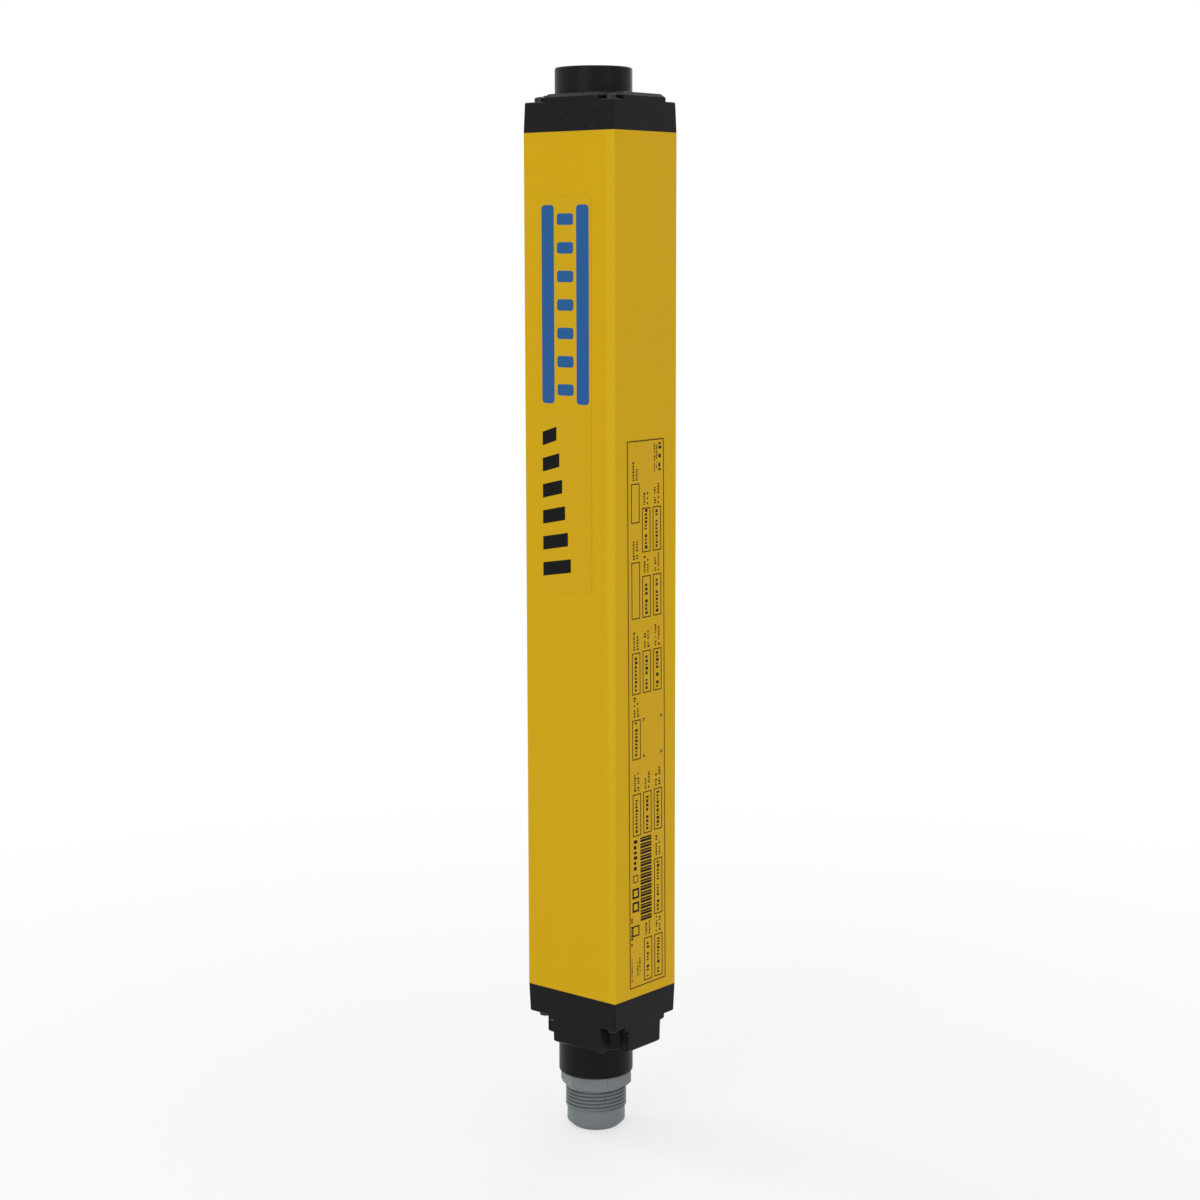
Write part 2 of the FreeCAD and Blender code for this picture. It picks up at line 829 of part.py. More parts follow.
def make_processor_chips():
    """Two redundant processors."""
    first = parts_low + capacitor_pitch * (capacitor_count + 1) + 2 * choke_half
    return group([
        box(-chip_half, chip_half, board_back, board_back + chip_thickness,
            first + chip_pitch * k, first + chip_pitch * k + 2 * chip_half) for k in range(chip_count)])


def make_connector_wires():
    """Wire bundle from the contacts' tails to the socket, with one S-bend."""
    start = insert_high + pin_tail
    offset = board_back + wire_bundle_radius + spigot_gap
    bend_high = stack_low - spigot_gap
    bend_low = bend_high - wire_bend_rise
    radius = (offset ** 2 + wire_bend_rise ** 2) / (4.0 * offset)
    half_turn = math.asin(wire_bend_rise / 2.0 / radius)
    lower_mid = Vector(
        0, radius * (1 - math.cos(half_turn / 2.0)), bend_low + radius * math.sin(half_turn / 2.0))
    upper_mid = Vector(0, offset - lower_mid.y, bend_high - (lower_mid.z - bend_low))
    centre = Vector(0, offset / 2.0, (bend_low + bend_high) / 2.0)
    low_end = Vector(0, 0, start)
    bend_start = Vector(0, 0, bend_low)
    bend_end = Vector(0, offset, bend_high)
    high_end = Vector(0, offset, socket_low)
    path = Part.Wire([
        Part.LineSegment(low_end, bend_start).toShape(),
        Part.Arc(bend_start, lower_mid, centre).toShape(),
        Part.Arc(centre, upper_mid, bend_end).toShape(),
        Part.LineSegment(bend_end, high_end).toShape()])
    section = Part.Wire([Part.makeCircle(wire_bundle_radius, low_end, Vector(0, 0, 1))])
    return path.makePipeShell([section], True, False)


def make_spacer_pad():
    """Foam pad between the top module and the upper cap."""
    return box(
        -module_half_width, module_half_width, carrier_front, carrier_back, modules_high, stack_high)


# --------------------------------------------------------------------------
# Labels
# --------------------------------------------------------------------------
def film(width, height, corner):
    """Rounded film in the XZ plane, centred in X, standing on Z = 0 and facing +Y."""
    sheet = box(-width / 2.0, width / 2.0, 0, film_thickness, 0, height)
    edges = [
        edge for edge in sheet.Edges
        if edge.BoundBox.YLength > film_thickness / 2.0]
    return sheet.makeFillet(corner, edges)


def make_side_label():
    """Clear film on the +X face."""
    label = film(side_label_width, side_label_height, side_label_corner)
    label.rotate(Vector(0, 0, 0), Vector(0, 0, 1), -90)
    label.translate(Vector(side, side_label_offset, base + side_label_base))
    return label


def make_rating_label():
    """Tall type plate on the back face, stuck on with a slight tilt."""
    label = film(rating_label_width, rating_label_height, rating_label_corner)
    centre = Vector(0, 0, rating_label_height / 2.0)
    label.rotate(centre, Vector(0, 1, 0), rating_label_tilt)
    label.translate(Vector(rating_label_offset, back, base + rating_label_base))
    return label


# --------------------------------------------------------------------------
# Output
# --------------------------------------------------------------------------
def make_nodes():
    """Return every node's name and shape."""
    nodes = {
        "housing_profile": make_housing(),
        "front_screen": make_screen(),
        "screen_seal_left": make_seal(-1),
        "screen_seal_right": make_seal(1),
        "upper_end_cap": make_upper_cap(),
        "lower_end_cap": make_lower_cap(),
        "upper_cap_gasket": make_gasket(True),
        "lower_cap_gasket": make_gasket(False),
        "upper_cap_screws": make_cap_screws(True),
        "lower_cap_screws": make_cap_screws(False),
        "connector_shell": make_connector_shell(),
        "connector_insert": make_connector_insert(),
        "connector_pins": make_connector_pins(),
        "earth_contact": make_earth_contact(),
        "connector_o_ring": make_o_ring(),
        "connector_locknut": make_locknut(),
        "connector_wires": make_connector_wires(),
        "link_sockets": make_link_sockets(),
        "ribbon_cable": make_ribbon_cable(),
        "logic_board": make_logic_board(),
        "wire_socket": make_wire_socket(),
        "capacitors": make_capacitors(),
        "power_choke": make_power_choke(),
        "processor_chips": make_processor_chips(),
        "display_carrier": make_display_carrier(),
        "display_board": make_display_board(),
        "segment_display": make_segment_display(),
        "status_lights": make_status_lights(),
        "board_header": make_board_header(),
        "spacer_pad": make_spacer_pad(),
        "side_label": make_side_label(),
        "rating_label": make_rating_label(),
    }
    for index in range(module_count):
        number = index + 1
        nodes[f"optics_module_{number}"] = make_module(index)
        nodes[f"lens_strip_{number}"] = make_lens_strip(index)
        nodes[f"diode_board_{number}"] = make_diode_board(index)
        nodes[f"beam_diodes_{number}"] = make_diodes(index)
    return nodes


def main():
    """Build every node and write its STEP file."""
    os.makedirs("parts", exist_ok=True)
    for name, shape in make_nodes().items():
        if not shape.isValid():
            raise RuntimeError(f"{name} is not a valid solid")
        shape.exportStep(f"parts/{name}.step")
        print(f"{name}: {len(shape.Solids)} solid(s), {shape.Volume:.0f} mm3")


main()
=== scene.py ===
"""Looks of a safety light curtain bar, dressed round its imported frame.

The frame is in metres: +Z runs up along the bar, -Y is the optical front, +Y the back,
and the swivel hubs share the Z axis.  Sizes written in this file are in millimetres and
pass through MM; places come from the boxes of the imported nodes.
"""
from __future__ import annotations

import logging
import math
from dataclasses import dataclass
from enum import Enum
from typing import ClassVar

import bpy
import numpy as np
from mathutils import Matrix, Vector

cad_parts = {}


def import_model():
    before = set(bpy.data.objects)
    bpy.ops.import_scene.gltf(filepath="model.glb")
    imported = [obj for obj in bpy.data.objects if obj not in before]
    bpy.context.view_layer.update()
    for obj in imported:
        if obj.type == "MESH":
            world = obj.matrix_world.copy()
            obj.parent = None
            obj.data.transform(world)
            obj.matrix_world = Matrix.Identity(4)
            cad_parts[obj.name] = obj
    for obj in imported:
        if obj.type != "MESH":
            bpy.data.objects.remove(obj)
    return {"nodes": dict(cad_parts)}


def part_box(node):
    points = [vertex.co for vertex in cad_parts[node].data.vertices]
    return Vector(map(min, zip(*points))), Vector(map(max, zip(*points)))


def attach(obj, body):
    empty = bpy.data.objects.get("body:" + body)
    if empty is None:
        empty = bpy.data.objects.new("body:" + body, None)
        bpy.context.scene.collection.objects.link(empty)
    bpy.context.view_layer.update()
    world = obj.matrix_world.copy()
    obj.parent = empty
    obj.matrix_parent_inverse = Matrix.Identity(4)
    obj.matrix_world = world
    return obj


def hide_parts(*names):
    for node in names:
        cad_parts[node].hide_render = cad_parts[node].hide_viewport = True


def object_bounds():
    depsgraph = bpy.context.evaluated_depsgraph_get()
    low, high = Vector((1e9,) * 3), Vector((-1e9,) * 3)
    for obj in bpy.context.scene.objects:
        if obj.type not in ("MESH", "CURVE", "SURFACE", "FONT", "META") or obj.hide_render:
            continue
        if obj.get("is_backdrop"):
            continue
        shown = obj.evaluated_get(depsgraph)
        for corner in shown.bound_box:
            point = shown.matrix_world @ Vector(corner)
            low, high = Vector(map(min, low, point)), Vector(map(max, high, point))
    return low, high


LOG = logging.getLogger("light_curtain")
MM = 0.001
WHITE = (1.0, 1.0, 1.0, 1.0)

Colour = tuple[float, float, float]
Triple = tuple[float, float, float]
Socket = bpy.types.NodeSocket


def display_colour(red: int, green: int, blue: int) -> Colour:
    """Return the linear colour of three display values.

    Args:
        red: Display value from 0 to 255.
        green: Display value from 0 to 255.
        blue: Display value from 0 to 255.

    Returns:
        The colour by the display curve's inverse: a power of 2.4 above a short straight foot.
    """
    shares = [value / 255.0 for value in (red, green, blue)]
    return tuple(v / 12.92 if v <= 0.04045 else ((v + 0.055) / 1.055) ** 2.4 for v in shares)


# ---- Finishes ----
class Grain(Enum):
    """How a finish's pattern is drawn out; the numbers stretch it along X, Y and Z."""

    EVEN = (1.0, 1.0, 1.0)
    ALONG_BAR = (1.0, 1.0, 0.03)
    ROUND_AXIS = (0.25, 0.25, 3.0)


class Wiring:
    """A shader node tree, filled node by node."""

    def __init__(self, tree: bpy.types.NodeTree) -> None:
        """Take a tree over and empty it."""
        self.tree = tree
        self.tree.nodes.clear()

    def node(self, kind: str, sockets: dict | None = None, **settings: object) -> bpy.types.Node:
        """Add a node, set its options and fill its sockets.

        Args:
            kind: The node's type without its ShaderNode prefix.
            sockets: Input name or index to a plain value or to a socket to link from.
            **settings: The node's own options.

        Returns:
            The new node.
        """
        made = self.tree.nodes.new("ShaderNode" + kind)
        for key, value in settings.items():
            setattr(made, key, value)
        for key, value in (sockets or {}).items():
            if isinstance(value, bpy.types.NodeSocket):
                self.tree.links.new(value, made.inputs[key])
            else:
                made.inputs[key].default_value = value
        return made

    def maths(self, operation: str, first: Socket | float, second: Socket | float = 0.0) -> Socket:
        """Return one arithmetic step on two values; the operation is the Math node's own."""
        return self.node("Math", {0: first, 1: second}, operation=operation).outputs[0]

    def seen_rays(self) -> Socket:
        """Return 1 for camera, glossy and transmission rays.

        Returns:
            The mask's socket.
        """
        path = self.node("LightPath").outputs
        seen = self.maths("MAXIMUM", path["Is Camera Ray"], path["Is Glossy Ray"])
        return self.maths("MAXIMUM", seen, path["Is Transmission Ray"])


class NodeSheet(Wiring):
    """One material's shader nodes; every pattern reads Object coordinates."""

    def __init__(self, name: str) -> None:
        """Start an empty node tree.

        Args:
            name: The material's name.
        """
        self.material = bpy.data.materials.new(name)
        self.material.use_nodes = True
        super().__init__(self.material.node_tree)
        self.place = self.node("TexCoord").outputs["Object"]

    def noise(self, size: float, detail: float = 2.0, grain: Grain = Grain.EVEN) -> Socket:
        """Return cloudy noise from 0 to 1.

        Args:
            size: Size of one cloud in millimetres.
            detail: Octaves of finer clouds.
            grain: How the clouds are drawn out.

        Returns:
            The noise value's socket.
        """
        spread = self.node("Mapping", {"Vector": self.place, "Scale": grain.value})
        made = self.node("TexNoise", {
            "Vector": spread.outputs[0], "Scale": 1.0 / (size * MM), "Detail": detail})
        return made.outputs[0]

    def bands(self, pitch: float, axis: str) -> Socket:
        """Return a rounded stripe pattern from 0 to 1.

        Args:
            pitch: Distance from stripe to stripe in millimetres.
            axis: Direction in which the stripes follow each other.

        Returns:
            The stripe value's socket.
        """
        made = self.node("TexWave", {
            "Vector": self.place, "Scale": math.pi / (10.0 * pitch * MM), "Distortion": 0.0},
            wave_type="BANDS", bands_direction=axis)
        return made.outputs["Fac"]

    def dots(self, pitch: float, radius: float, jitter: float = 1.0) -> Socket:
        """Return 1 inside scattered round dots and 0 outside.

        Args:
            pitch: Mean distance between dots in millimetres.
            radius: Dot radius as a share of the pitch.
            jitter: How far the dots leave a square grid, from 0 to 1.

        Returns:
            The mask's socket.
        """
        cells = self.node("TexVoronoi", {
            "Vector": self.place, "Scale": 1.0 / (pitch * MM), "Randomness": jitter})
        return self.span(cells.outputs["Distance"], radius, radius * 0.7, 0.0, 1.0)

    def span(self, value: Socket, low: float, high: float, start: float, end: float) -> Socket:
        """Return the value carried smoothly from one range to another.

        Args:
            value: The socket to carry over.
            low: Value that becomes start.
            high: Value that becomes end.
            start: Result at low and below.
            end: Result at high and above.

        Returns:
            The carried value's socket.
        """
        made = self.node("MapRange", {
            "Value": value, "From Min": low, "From Max": high, "To Min": start, "To Max": end},
            interpolation_type="SMOOTHSTEP")
        return made.outputs["Result"]

    def blend(self, share: Socket | float, first: Socket | Colour, second: Socket | Colour) -> Socket:
        """Return a mix of two colours.

        Args:
            share: How much of the second colour is taken.
            first: Colour at share 0.
            second: Colour at share 1.

        Returns:
            The mixed colour's socket.
        """
        pair = [c if isinstance(c, bpy.types.NodeSocket) else (*c, 1.0) for c in (first, second)]
        made = self.node("Mix", {0: share, 6: pair[0], 7: pair[1]}, data_type="RGBA")
        return made.outputs[2]

    def rounded_normal(self, radius: float) -> Socket:
        """Return the normal as if every edge had a small radius.

        Args:
            radius: The edges' radius in millimetres.

        Returns:
            The normal's socket.
        """
        return self.node("Bevel", {"Radius": radius * MM}, samples=6).outputs[0]

    def edges(self, radius: float) -> Socket:
        """Return 1 close to an edge and 0 on open surface.

        The normal averaged over a small radius turns away from the true one near an edge, so
        the dot product of the two falls below 1 there.

        Args:
            radius: How far from the edge the mask reaches, in millimetres.

        Returns:
            The mask's socket.
        """
        true = self.node("NewGeometry").outputs["Normal"]
        alike = self.node(
            "VectorMath", {0: self.rounded_normal(radius), 1: true}, operation="DOT_PRODUCT")
        return self.span(alike.outputs["Value"], 0.995, 0.9, 0.0, 1.0)

    def bump(self, height: Socket, depth: float, radius: float = 0.0) -> Socket:
        """Return a normal raised by a height pattern.

        Args:
            height: Pattern from 0 to 1.
            depth: The relief's full depth in millimetres.
            radius: Radius that the edges are shaded with; 0 leaves them crisp.

        Returns:
            The normal's socket.
        """
        made = self.node("Bump", {"Strength": 1.0, "Distance": depth * MM, "Height": height})
        if radius:
            self.tree.links.new(self.rounded_normal(radius), made.inputs["Normal"])
        return made.outputs["Normal"]

    def close(self, shader: Socket) -> None:
        """Send the shader to the material's output."""
        self.node("OutputMaterial", {"Surface": shader})


@dataclass(frozen=True)
class Finish:
    """Plain finish: slow tone changes, uneven gloss and a fine grain."""

    name: str
    colour: Colour
    roughness: float = 0.45
    specular: float = 0.4
    metallic: float = 0.0
    transmission: float = 0.0
    ior: float = 1.5
    coat: float = 0.0
    coat_roughness: float = 0.2
    mottle: float = 0.06
    mottle_size: float = 14.0
    gloss_spread: float = 0.05
    grain_size: float = 0.3
    grain_depth: float = 0.01
    grain: Grain = Grain.EVEN
    edge_radius: float = 0.0

    def tone(self, sheet: NodeSheet) -> Socket:
        """Return the base colour, shaded up and down by slow noise.

        Args:
            sheet: The material's nodes.

        Returns:
            The colour's socket.
        """
        darker = tuple(c * (1.0 - self.mottle) for c in self.colour)
        lighter = tuple(min(1.0, c * (1.0 + self.mottle)) for c in self.colour)
        return sheet.blend(sheet.noise(self.mottle_size, 3.0, self.grain), darker, lighter)

    def gloss(self, sheet: NodeSheet) -> Socket:
        """Return the roughness, which wanders by the gloss spread.

        Args:
            sheet: The material's nodes.

        Returns:
            The roughness value's socket.
        """
        return sheet.span(
            sheet.noise(self.mottle_size * 0.3, 4.0, self.grain), 0.3, 0.7,
            self.roughness - self.gloss_spread, self.roughness + self.gloss_spread)

    def relief(self, sheet: NodeSheet) -> Socket:
        """Return the grain's height pattern."""
        return sheet.noise(self.grain_size, 2.0, self.grain)

    def build(self) -> bpy.types.Material:
        """Lay out the nodes.

        Returns:
            The finished material.
        """
        sheet = NodeSheet(self.name)
        shader = sheet.node("BsdfPrincipled", {
            "Base Color": self.tone(sheet), "Roughness": self.gloss(sheet),
            "Normal": sheet.bump(self.relief(sheet), self.grain_depth, self.edge_radius),
            "Metallic": self.metallic, "Specular IOR Level": self.specular, "IOR": self.ior,
            "Transmission Weight": self.transmission, "Coat Weight": self.coat,
            "Coat Roughness": self.coat_roughness})
        sheet.close(shader.outputs[0])
        return sheet.material


@dataclass(frozen=True)
class PaintedExtrusion(Finish):
    """Smooth baked paint on a drawn profile: orange peel, faint die lines and a painted highlight along the
    upright corners.
    """

    # colour of the painted highlight on the upright corners
    corner_highlight: Colour = (1.0, 1.0, 1.0)
    half_width: float = 20.0
    half_depth: float = 24.0
    centre_y: float = 0.0
    # width of the painted corner highlight, in millimetres
    highlight_reach: float = 1.6
    die_pitch: float = 1.1
    die_share: float = 0.4
    speck_pitch: float = 9.0
    speck_radius: float = 0.03
    speck: Colour = (0.03, 0.02, 0.01)

    def tone(self, sheet: NodeSheet) -> Socket:
        """Return the paint's colour with a few specks, lighter at the upright corners by a painted highlight.

        Args:
            sheet: The material's nodes.

        Returns:
            The colour's socket.
        """
        axes = sheet.node("SeparateXYZ", {0: sheet.place})
        across = sheet.maths("ABSOLUTE", axes.outputs[0])
        along = sheet.maths("ABSOLUTE", sheet.maths("SUBTRACT", axes.outputs[1], self.centre_y * MM))
        reach = self.highlight_reach * MM
        near_x = sheet.span(across, self.half_width * MM - reach, self.half_width * MM, 0.0, 1.0)
        near_y = sheet.span(along, self.half_depth * MM - reach, self.half_depth * MM, 0.0, 1.0)
        # the corner mask lays a painted highlight along each upright corner
        corner = sheet.maths("MULTIPLY", near_x, near_y)
        paint = sheet.blend(corner, super().tone(sheet), self.corner_highlight)
        sparse = sheet.span(sheet.noise(30.0, 1.0), 0.6, 0.66, 0.0, 0.8)
        specks = sheet.maths("MULTIPLY", sheet.dots(self.speck_pitch, self.speck_radius), sparse)
        return sheet.blend(specks, paint, self.speck)

    def relief(self, sheet: NodeSheet) -> Socket:
        """Return orange peel with die lines that run up the bar.

        Args:
            sheet: The material's nodes.

        Returns:
            The height pattern's socket.
        """
        peel = sheet.maths("MULTIPLY", sheet.noise(self.grain_size, 1.0), 1.0 - self.die_share)
        lines = sheet.maths("MULTIPLY", sheet.noise(self.die_pitch, 2.0, Grain.ALONG_BAR), self.die_share)
        return sheet.maths("ADD", peel, lines)


@dataclass(frozen=True)
class ScuffedMoulding(Finish):
    """Spark-grained moulding with pale hairline scuffs and paler edges, partly edge wear and partly a painted
    highlight.
    """

    # pale colour of the hairline scuffs and of the edges' painted highlight
    scuff_and_glint: Colour = (0.1, 0.1, 0.1)
    scuff_share: float = 0.35
    hair_size: float = 0.5
    hair_slant: Triple = (0.5, 0.9, 0.3)
    hair_stretch: Triple = (1.0, 0.06, 1.0)
    patch_size: float = 16.0
    # size, reach and share of the paler edges, part wear and part painted highlight
    wear_glint_size: float = 2.5
    wear_glint_reach: float = 0.35
    wear_glint_share: float = 0.7

    def tone(self, sheet: NodeSheet) -> Socket:
        """Return the ground colour crossed by sparse pale hairlines, paler again at the edges by painted
        highlight and wear.

        Args:
            sheet: The material's nodes.

        Returns:
            The colour's socket.
        """
        slant = sheet.node("Mapping", {
            "Vector": sheet.place, "Rotation": self.hair_slant, "Scale": self.hair_stretch})
        hairs = sheet.node("TexNoise", {
            "Vector": slant.outputs[0], "Scale": 1.0 / (self.hair_size * MM), "Detail": 1.0})
        patch = sheet.span(sheet.noise(self.patch_size, 2.0), 0.5, 0.66, 0.0, self.scuff_share)
        lines = sheet.maths("MULTIPLY", sheet.span(hairs.outputs[0], 0.66, 0.74, 0.0, 1.0), patch)
        # paler edges: a painted highlight standing in for edge glints, broken up as wear would be
        uneven = sheet.span(sheet.noise(self.wear_glint_size, 3.0), 0.35, 0.65, 0.15, self.wear_glint_share)
        wear_and_glint = sheet.maths("MULTIPLY", sheet.edges(self.wear_glint_reach), uneven)
        return sheet.blend(sheet.maths("MAXIMUM", lines, wear_and_glint), super().tone(sheet), self.scuff_and_glint)


@dataclass(frozen=True)
class CircuitBoard(Finish):
    """Solder-masked board with copper runs under the mask and bare pads."""

    run: Colour = (0.05, 0.2, 0.06)
    pad: Colour = (0.6, 0.55, 0.45)
    run_pitch: float = 1.6
    pad_pitch: float = 2.54
    pad_radius: float = 0.22
    zone_size: float = 9.0

    def tone(self, sheet: NodeSheet) -> Socket:
        """Return the mask's green with paler runs both ways and round pads.

        Args:
            sheet: The material's nodes.

        Returns:
            The colour's socket.
        """
        upright = sheet.span(sheet.bands(self.run_pitch, "X"), 0.7, 0.8, 0.0, 1.0)
        level = sheet.span(sheet.bands(self.run_pitch * 2.0, "Z"), 0.8, 0.9, 0.0, 1.0)
        zone = sheet.span(sheet.noise(self.zone_size, 0.0), 0.48, 0.52, 0.0, 1.0)
        runs = sheet.node("Mix", {0: zone, 2: upright, 3: level}).outputs[0]
        masked = sheet.blend(runs, super().tone(sheet), self.run)
        return sheet.blend(sheet.dots(self.pad_pitch, self.pad_radius, 0.0), masked, self.pad)


@dataclass(frozen=True)
class StripedFinish(Finish):
    """Finish with stripes, such as a flat cable's cores or a turned part's rings."""

    stripe: Colour = (0.1, 0.1, 0.1)
    pitch: float = 1.27
    axis: str = "X"
    edge: float = 0.75

    def tone(self, sheet: NodeSheet) -> Socket:
        """Return the ground colour with a thin stripe at each pitch."""
        lines = sheet.span(sheet.bands(self.pitch, self.axis), self.edge, 1.0, 0.0, 1.0)
        return sheet.blend(lines, super().tone(sheet), self.stripe)

    def relief(self, sheet: NodeSheet) -> Socket:
        """Return the stripes as rounded ridges."""
        return sheet.bands(self.pitch, self.axis)


@dataclass(frozen=True)
class CellularFinish(Finish):
    """Foam with open cells."""

    cell: float = 0.9

    def relief(self, sheet: NodeSheet) -> Socket:
        """Return one pit for each cell."""
        cells = sheet.node("TexVoronoi", {"Vector": sheet.place, "Scale": 1.0 / (self.cell * MM)})
        return cells.outputs["Distance"]


YELLOW = display_colour(206, 164, 8)
# corner_highlight is the paint's painted highlight along the upright corners
PAINT = PaintedExtrusion(
    "yellow_coat", YELLOW, roughness=0.4, specular=0.1, mottle=0.02, mottle_size=60.0, gloss_spread=0.03,
    grain_size=0.7, grain_depth=0.006, corner_highlight=display_colour(209, 169, 18), edge_radius=0.3)
# the black moulding's paler edges are mostly a painted highlight in place of edge glints
MOULDING = ScuffedMoulding(
    "black_moulding", display_colour(19, 19, 21), roughness=0.38, specular=0.1, mottle=0.15,
    mottle_size=9.0, gloss_spread=0.03, grain_size=0.18, grain_depth=0.012,
    scuff_and_glint=display_colour(74, 74, 77), wear_glint_reach=0.15, wear_glint_share=0.45, edge_radius=0.3)
WINDOW = Finish(
    "dark_window", display_colour(142, 38, 46), roughness=0.05, specular=0.5, transmission=0.96,
    ior=1.45, mottle=0.03, gloss_spread=0.02, grain_size=3.0, grain_depth=0.002)
RUBBER = Finish(
    "seal_rubber", display_colour(28, 28, 29), roughness=0.75, specular=0.2, mottle=0.15,
    mottle_size=4.0, grain_size=0.12, grain_depth=0.01)
SCREW = StripedFinish(
    "screw_steel", display_colour(52, 52, 55), roughness=0.34, metallic=1.0, mottle=0.15,
    mottle_size=2.0, stripe=display_colour(34, 34, 36), pitch=0.35, axis="Z",
    grain_depth=0.003, edge_radius=0.15)
PLUG = ScuffedMoulding(
    "plug_grey", display_colour(118, 124, 126), roughness=0.44, specular=0.2, mottle=0.05,
    mottle_size=5.0, grain_size=0.22, grain_depth=0.008, scuff_and_glint=display_colour(150, 155, 155),
    scuff_share=0.3, wear_glint_share=0.4, edge_radius=0.2)
INSULATOR = Finish(
    "insulator_black", display_colour(24, 24, 26), roughness=0.4, specular=0.25, mottle_size=4.0,
    grain_size=0.15, edge_radius=0.1)
BRASS = Finish(
    "contact_brass", display_colour(214, 178, 92), roughness=0.22, metallic=1.0, mottle=0.05,
    mottle_size=1.5, grain_size=0.08, grain_depth=0.002, grain=Grain.ROUND_AXIS)
JACKET = StripedFinish(
    "wire_jacket", display_colour(46, 47, 50), roughness=0.55, stripe=display_colour(30, 30, 32),
    pitch=1.4, axis="X", edge=0.6, grain_depth=0.15)
BOARD = CircuitBoard(
    "board_green", display_colour(18, 74, 40), roughness=0.3, specular=0.5,
    run=display_colour(34, 106, 58), pad=display_colour(196, 190, 172))
CHIP = Finish(
    "chip_black", display_colour(27, 27, 28), roughness=0.55, specular=0.3, mottle_size=3.0,
    grain_size=0.1, grain_depth=0.008, edge_radius=0.1)
CARRIER = Finish(
    "carrier_black", display_colour(22, 22, 23), roughness=0.6, specular=0.25, mottle_size=10.0,
    grain_size=0.25, grain_depth=0.012, edge_radius=0.2)
LENS = Finish(
    "lens_clear", display_colour(232, 234, 236), roughness=0.08, transmission=0.72, ior=1.49,
    mottle=0.01, gloss_spread=0.02, grain_size=2.0, grain_depth=0.001)
DIODE = Finish(
    "diode_clear", display_colour(196, 206, 226), roughness=0.08, transmission=0.9, ior=1.53,
    mottle=0.02, gloss_spread=0.03, grain_size=1.0, grain_depth=0.001)
CAN = StripedFinish(
    "capacitor_can", display_colour(168, 170, 174), roughness=0.3, metallic=1.0,
    stripe=display_colour(140, 142, 148), pitch=1.2, axis="Y", grain_depth=0.01)
RIBBON = StripedFinish(
    "ribbon_grey", display_colour(150, 152, 155), roughness=0.5,
    stripe=display_colour(112, 114, 118), pitch=1.27, axis="X", grain_depth=0.12)
FOAM = CellularFinish(
    "foam_grey", display_colour(62, 63, 66), roughness=0.9, specular=0.1, grain_depth=0.3)
FILM = Finish(
    "film_clear", display_colour(204, 163, 10), roughness=0.28, specular=0.12, mottle=0.015,
    mottle_size=50.0, gloss_spread=0.04, grain_size=1.6, grain_depth=0.004)
PLATE = Finish(
    "type_plate", display_colour(203, 161, 20), roughness=0.42, specular=0.12, mottle=0.015,
    mottle_size=40.0, grain_size=0.5, grain_depth=0.004)
DIGIT = Finish(
    "digit_grey", display_colour(120, 122, 126), roughness=0.4, mottle_size=5.0, grain_size=0.2)
LIGHT = Finish(
    "light_lens", display_colour(206, 214, 204), roughness=0.2, transmission=0.3, ior=1.49,
    mottle_size=2.0, grain_size=0.3, grain_depth=0.004)
INK = Finish(
    "print_dark", display_colour(26, 16, 6), roughness=0.5, specular=0.1, mottle=0.2,
    mottle_size=3.0, grain_size=0.2, grain_depth=0.002)
MARK_BLACK = Finish(
    "mark_black", display_colour(11, 10, 12), roughness=0.4, specular=0.1, mottle=0.1,
    mottle_size=8.0, grain_size=0.4, grain_depth=0.002)
MARK_BLUE = Finish(
    "mark_blue", display_colour(38, 90, 146), roughness=0.36, specular=0.1, mottle=0.03,
    mottle_size=20.0, grain_size=0.5, grain_depth=0.002)


class Palette:
    """Builds each finish once and puts it on nodes and pieces."""

    def __init__(self, nodes: dict[str, bpy.types.Object]) -> None:
        """Start with nothing built.

        Args:
            nodes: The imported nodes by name.
        """
        self.nodes = nodes
        self.built: dict[str, bpy.types.Material] = {}

    def material(self, finish: Finish) -> bpy.types.Material:
        """Return the finish's material, built on first use.

        Args:
            finish: The finish to look up.

        Returns:
            The material.
        """
        if finish.name not in self.built:
            self.built[finish.name] = finish.build()
        return self.built[finish.name]

    def dress(self, finish: Finish, *names: str) -> None:
        """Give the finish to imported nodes.

        Args:
            finish: The finish to use.
            *names: The nodes' names.
        """
        for name in names:
            for slot in self.nodes[name].material_slots:
                slot.material = self.material(finish)
            LOG.info("dressed %s in %s", name, finish.name)


# ---- Meshes ----
def grid_faces(rows: int, columns: int) -> np.ndarray:
    """Return the quads of a grid that closes on itself both ways.

    Corner k of the quad at (row, column) is the point one row on, one column on, or both,
    and the last row and column lead back to the first.

    Args:
        rows: Number of rows.
        columns: Number of points in a row.

    Returns:
        An array of four indices for each quad.
    """
    row, column = np.meshgrid(np.arange(rows), np.arange(columns), indexing="ij")
    below, right = (row + 1) % rows, (column + 1) % columns
    quads = (row * columns + column, row * columns + right, below * columns + right, below * columns + column)
    return np.stack(quads, axis=-1).reshape(-1, 4)


def make_piece(name: str, points: np.ndarray, faces: list | np.ndarray, sharp: float) -> bpy.types.Object:
    """Put arrays into a new mesh object at the origin.

    Args:
        name: The piece's name.
        points: One (x, y, z) row in metres for each vertex.
        faces: Vertex indices of each face, outward faces anticlockwise.
        sharp: Angle in degrees past which an edge stays crisp.

    Returns:
        The object, linked to the scene.
    """
    mesh = bpy.data.meshes.new(name)
    mesh.from_pydata(points.tolist(), [], [list(face) for face in faces])
    mesh.polygons.foreach_set("use_smooth", np.ones(len(mesh.polygons), dtype=bool))
    mesh.set_sharp_from_angle(angle=math.radians(sharp))
    mesh.update()
    piece = bpy.data.objects.new(name, mesh)
    bpy.context.scene.collection.objects.link(piece)
    LOG.info("made %s with %d faces", name, len(mesh.polygons))
    return piece


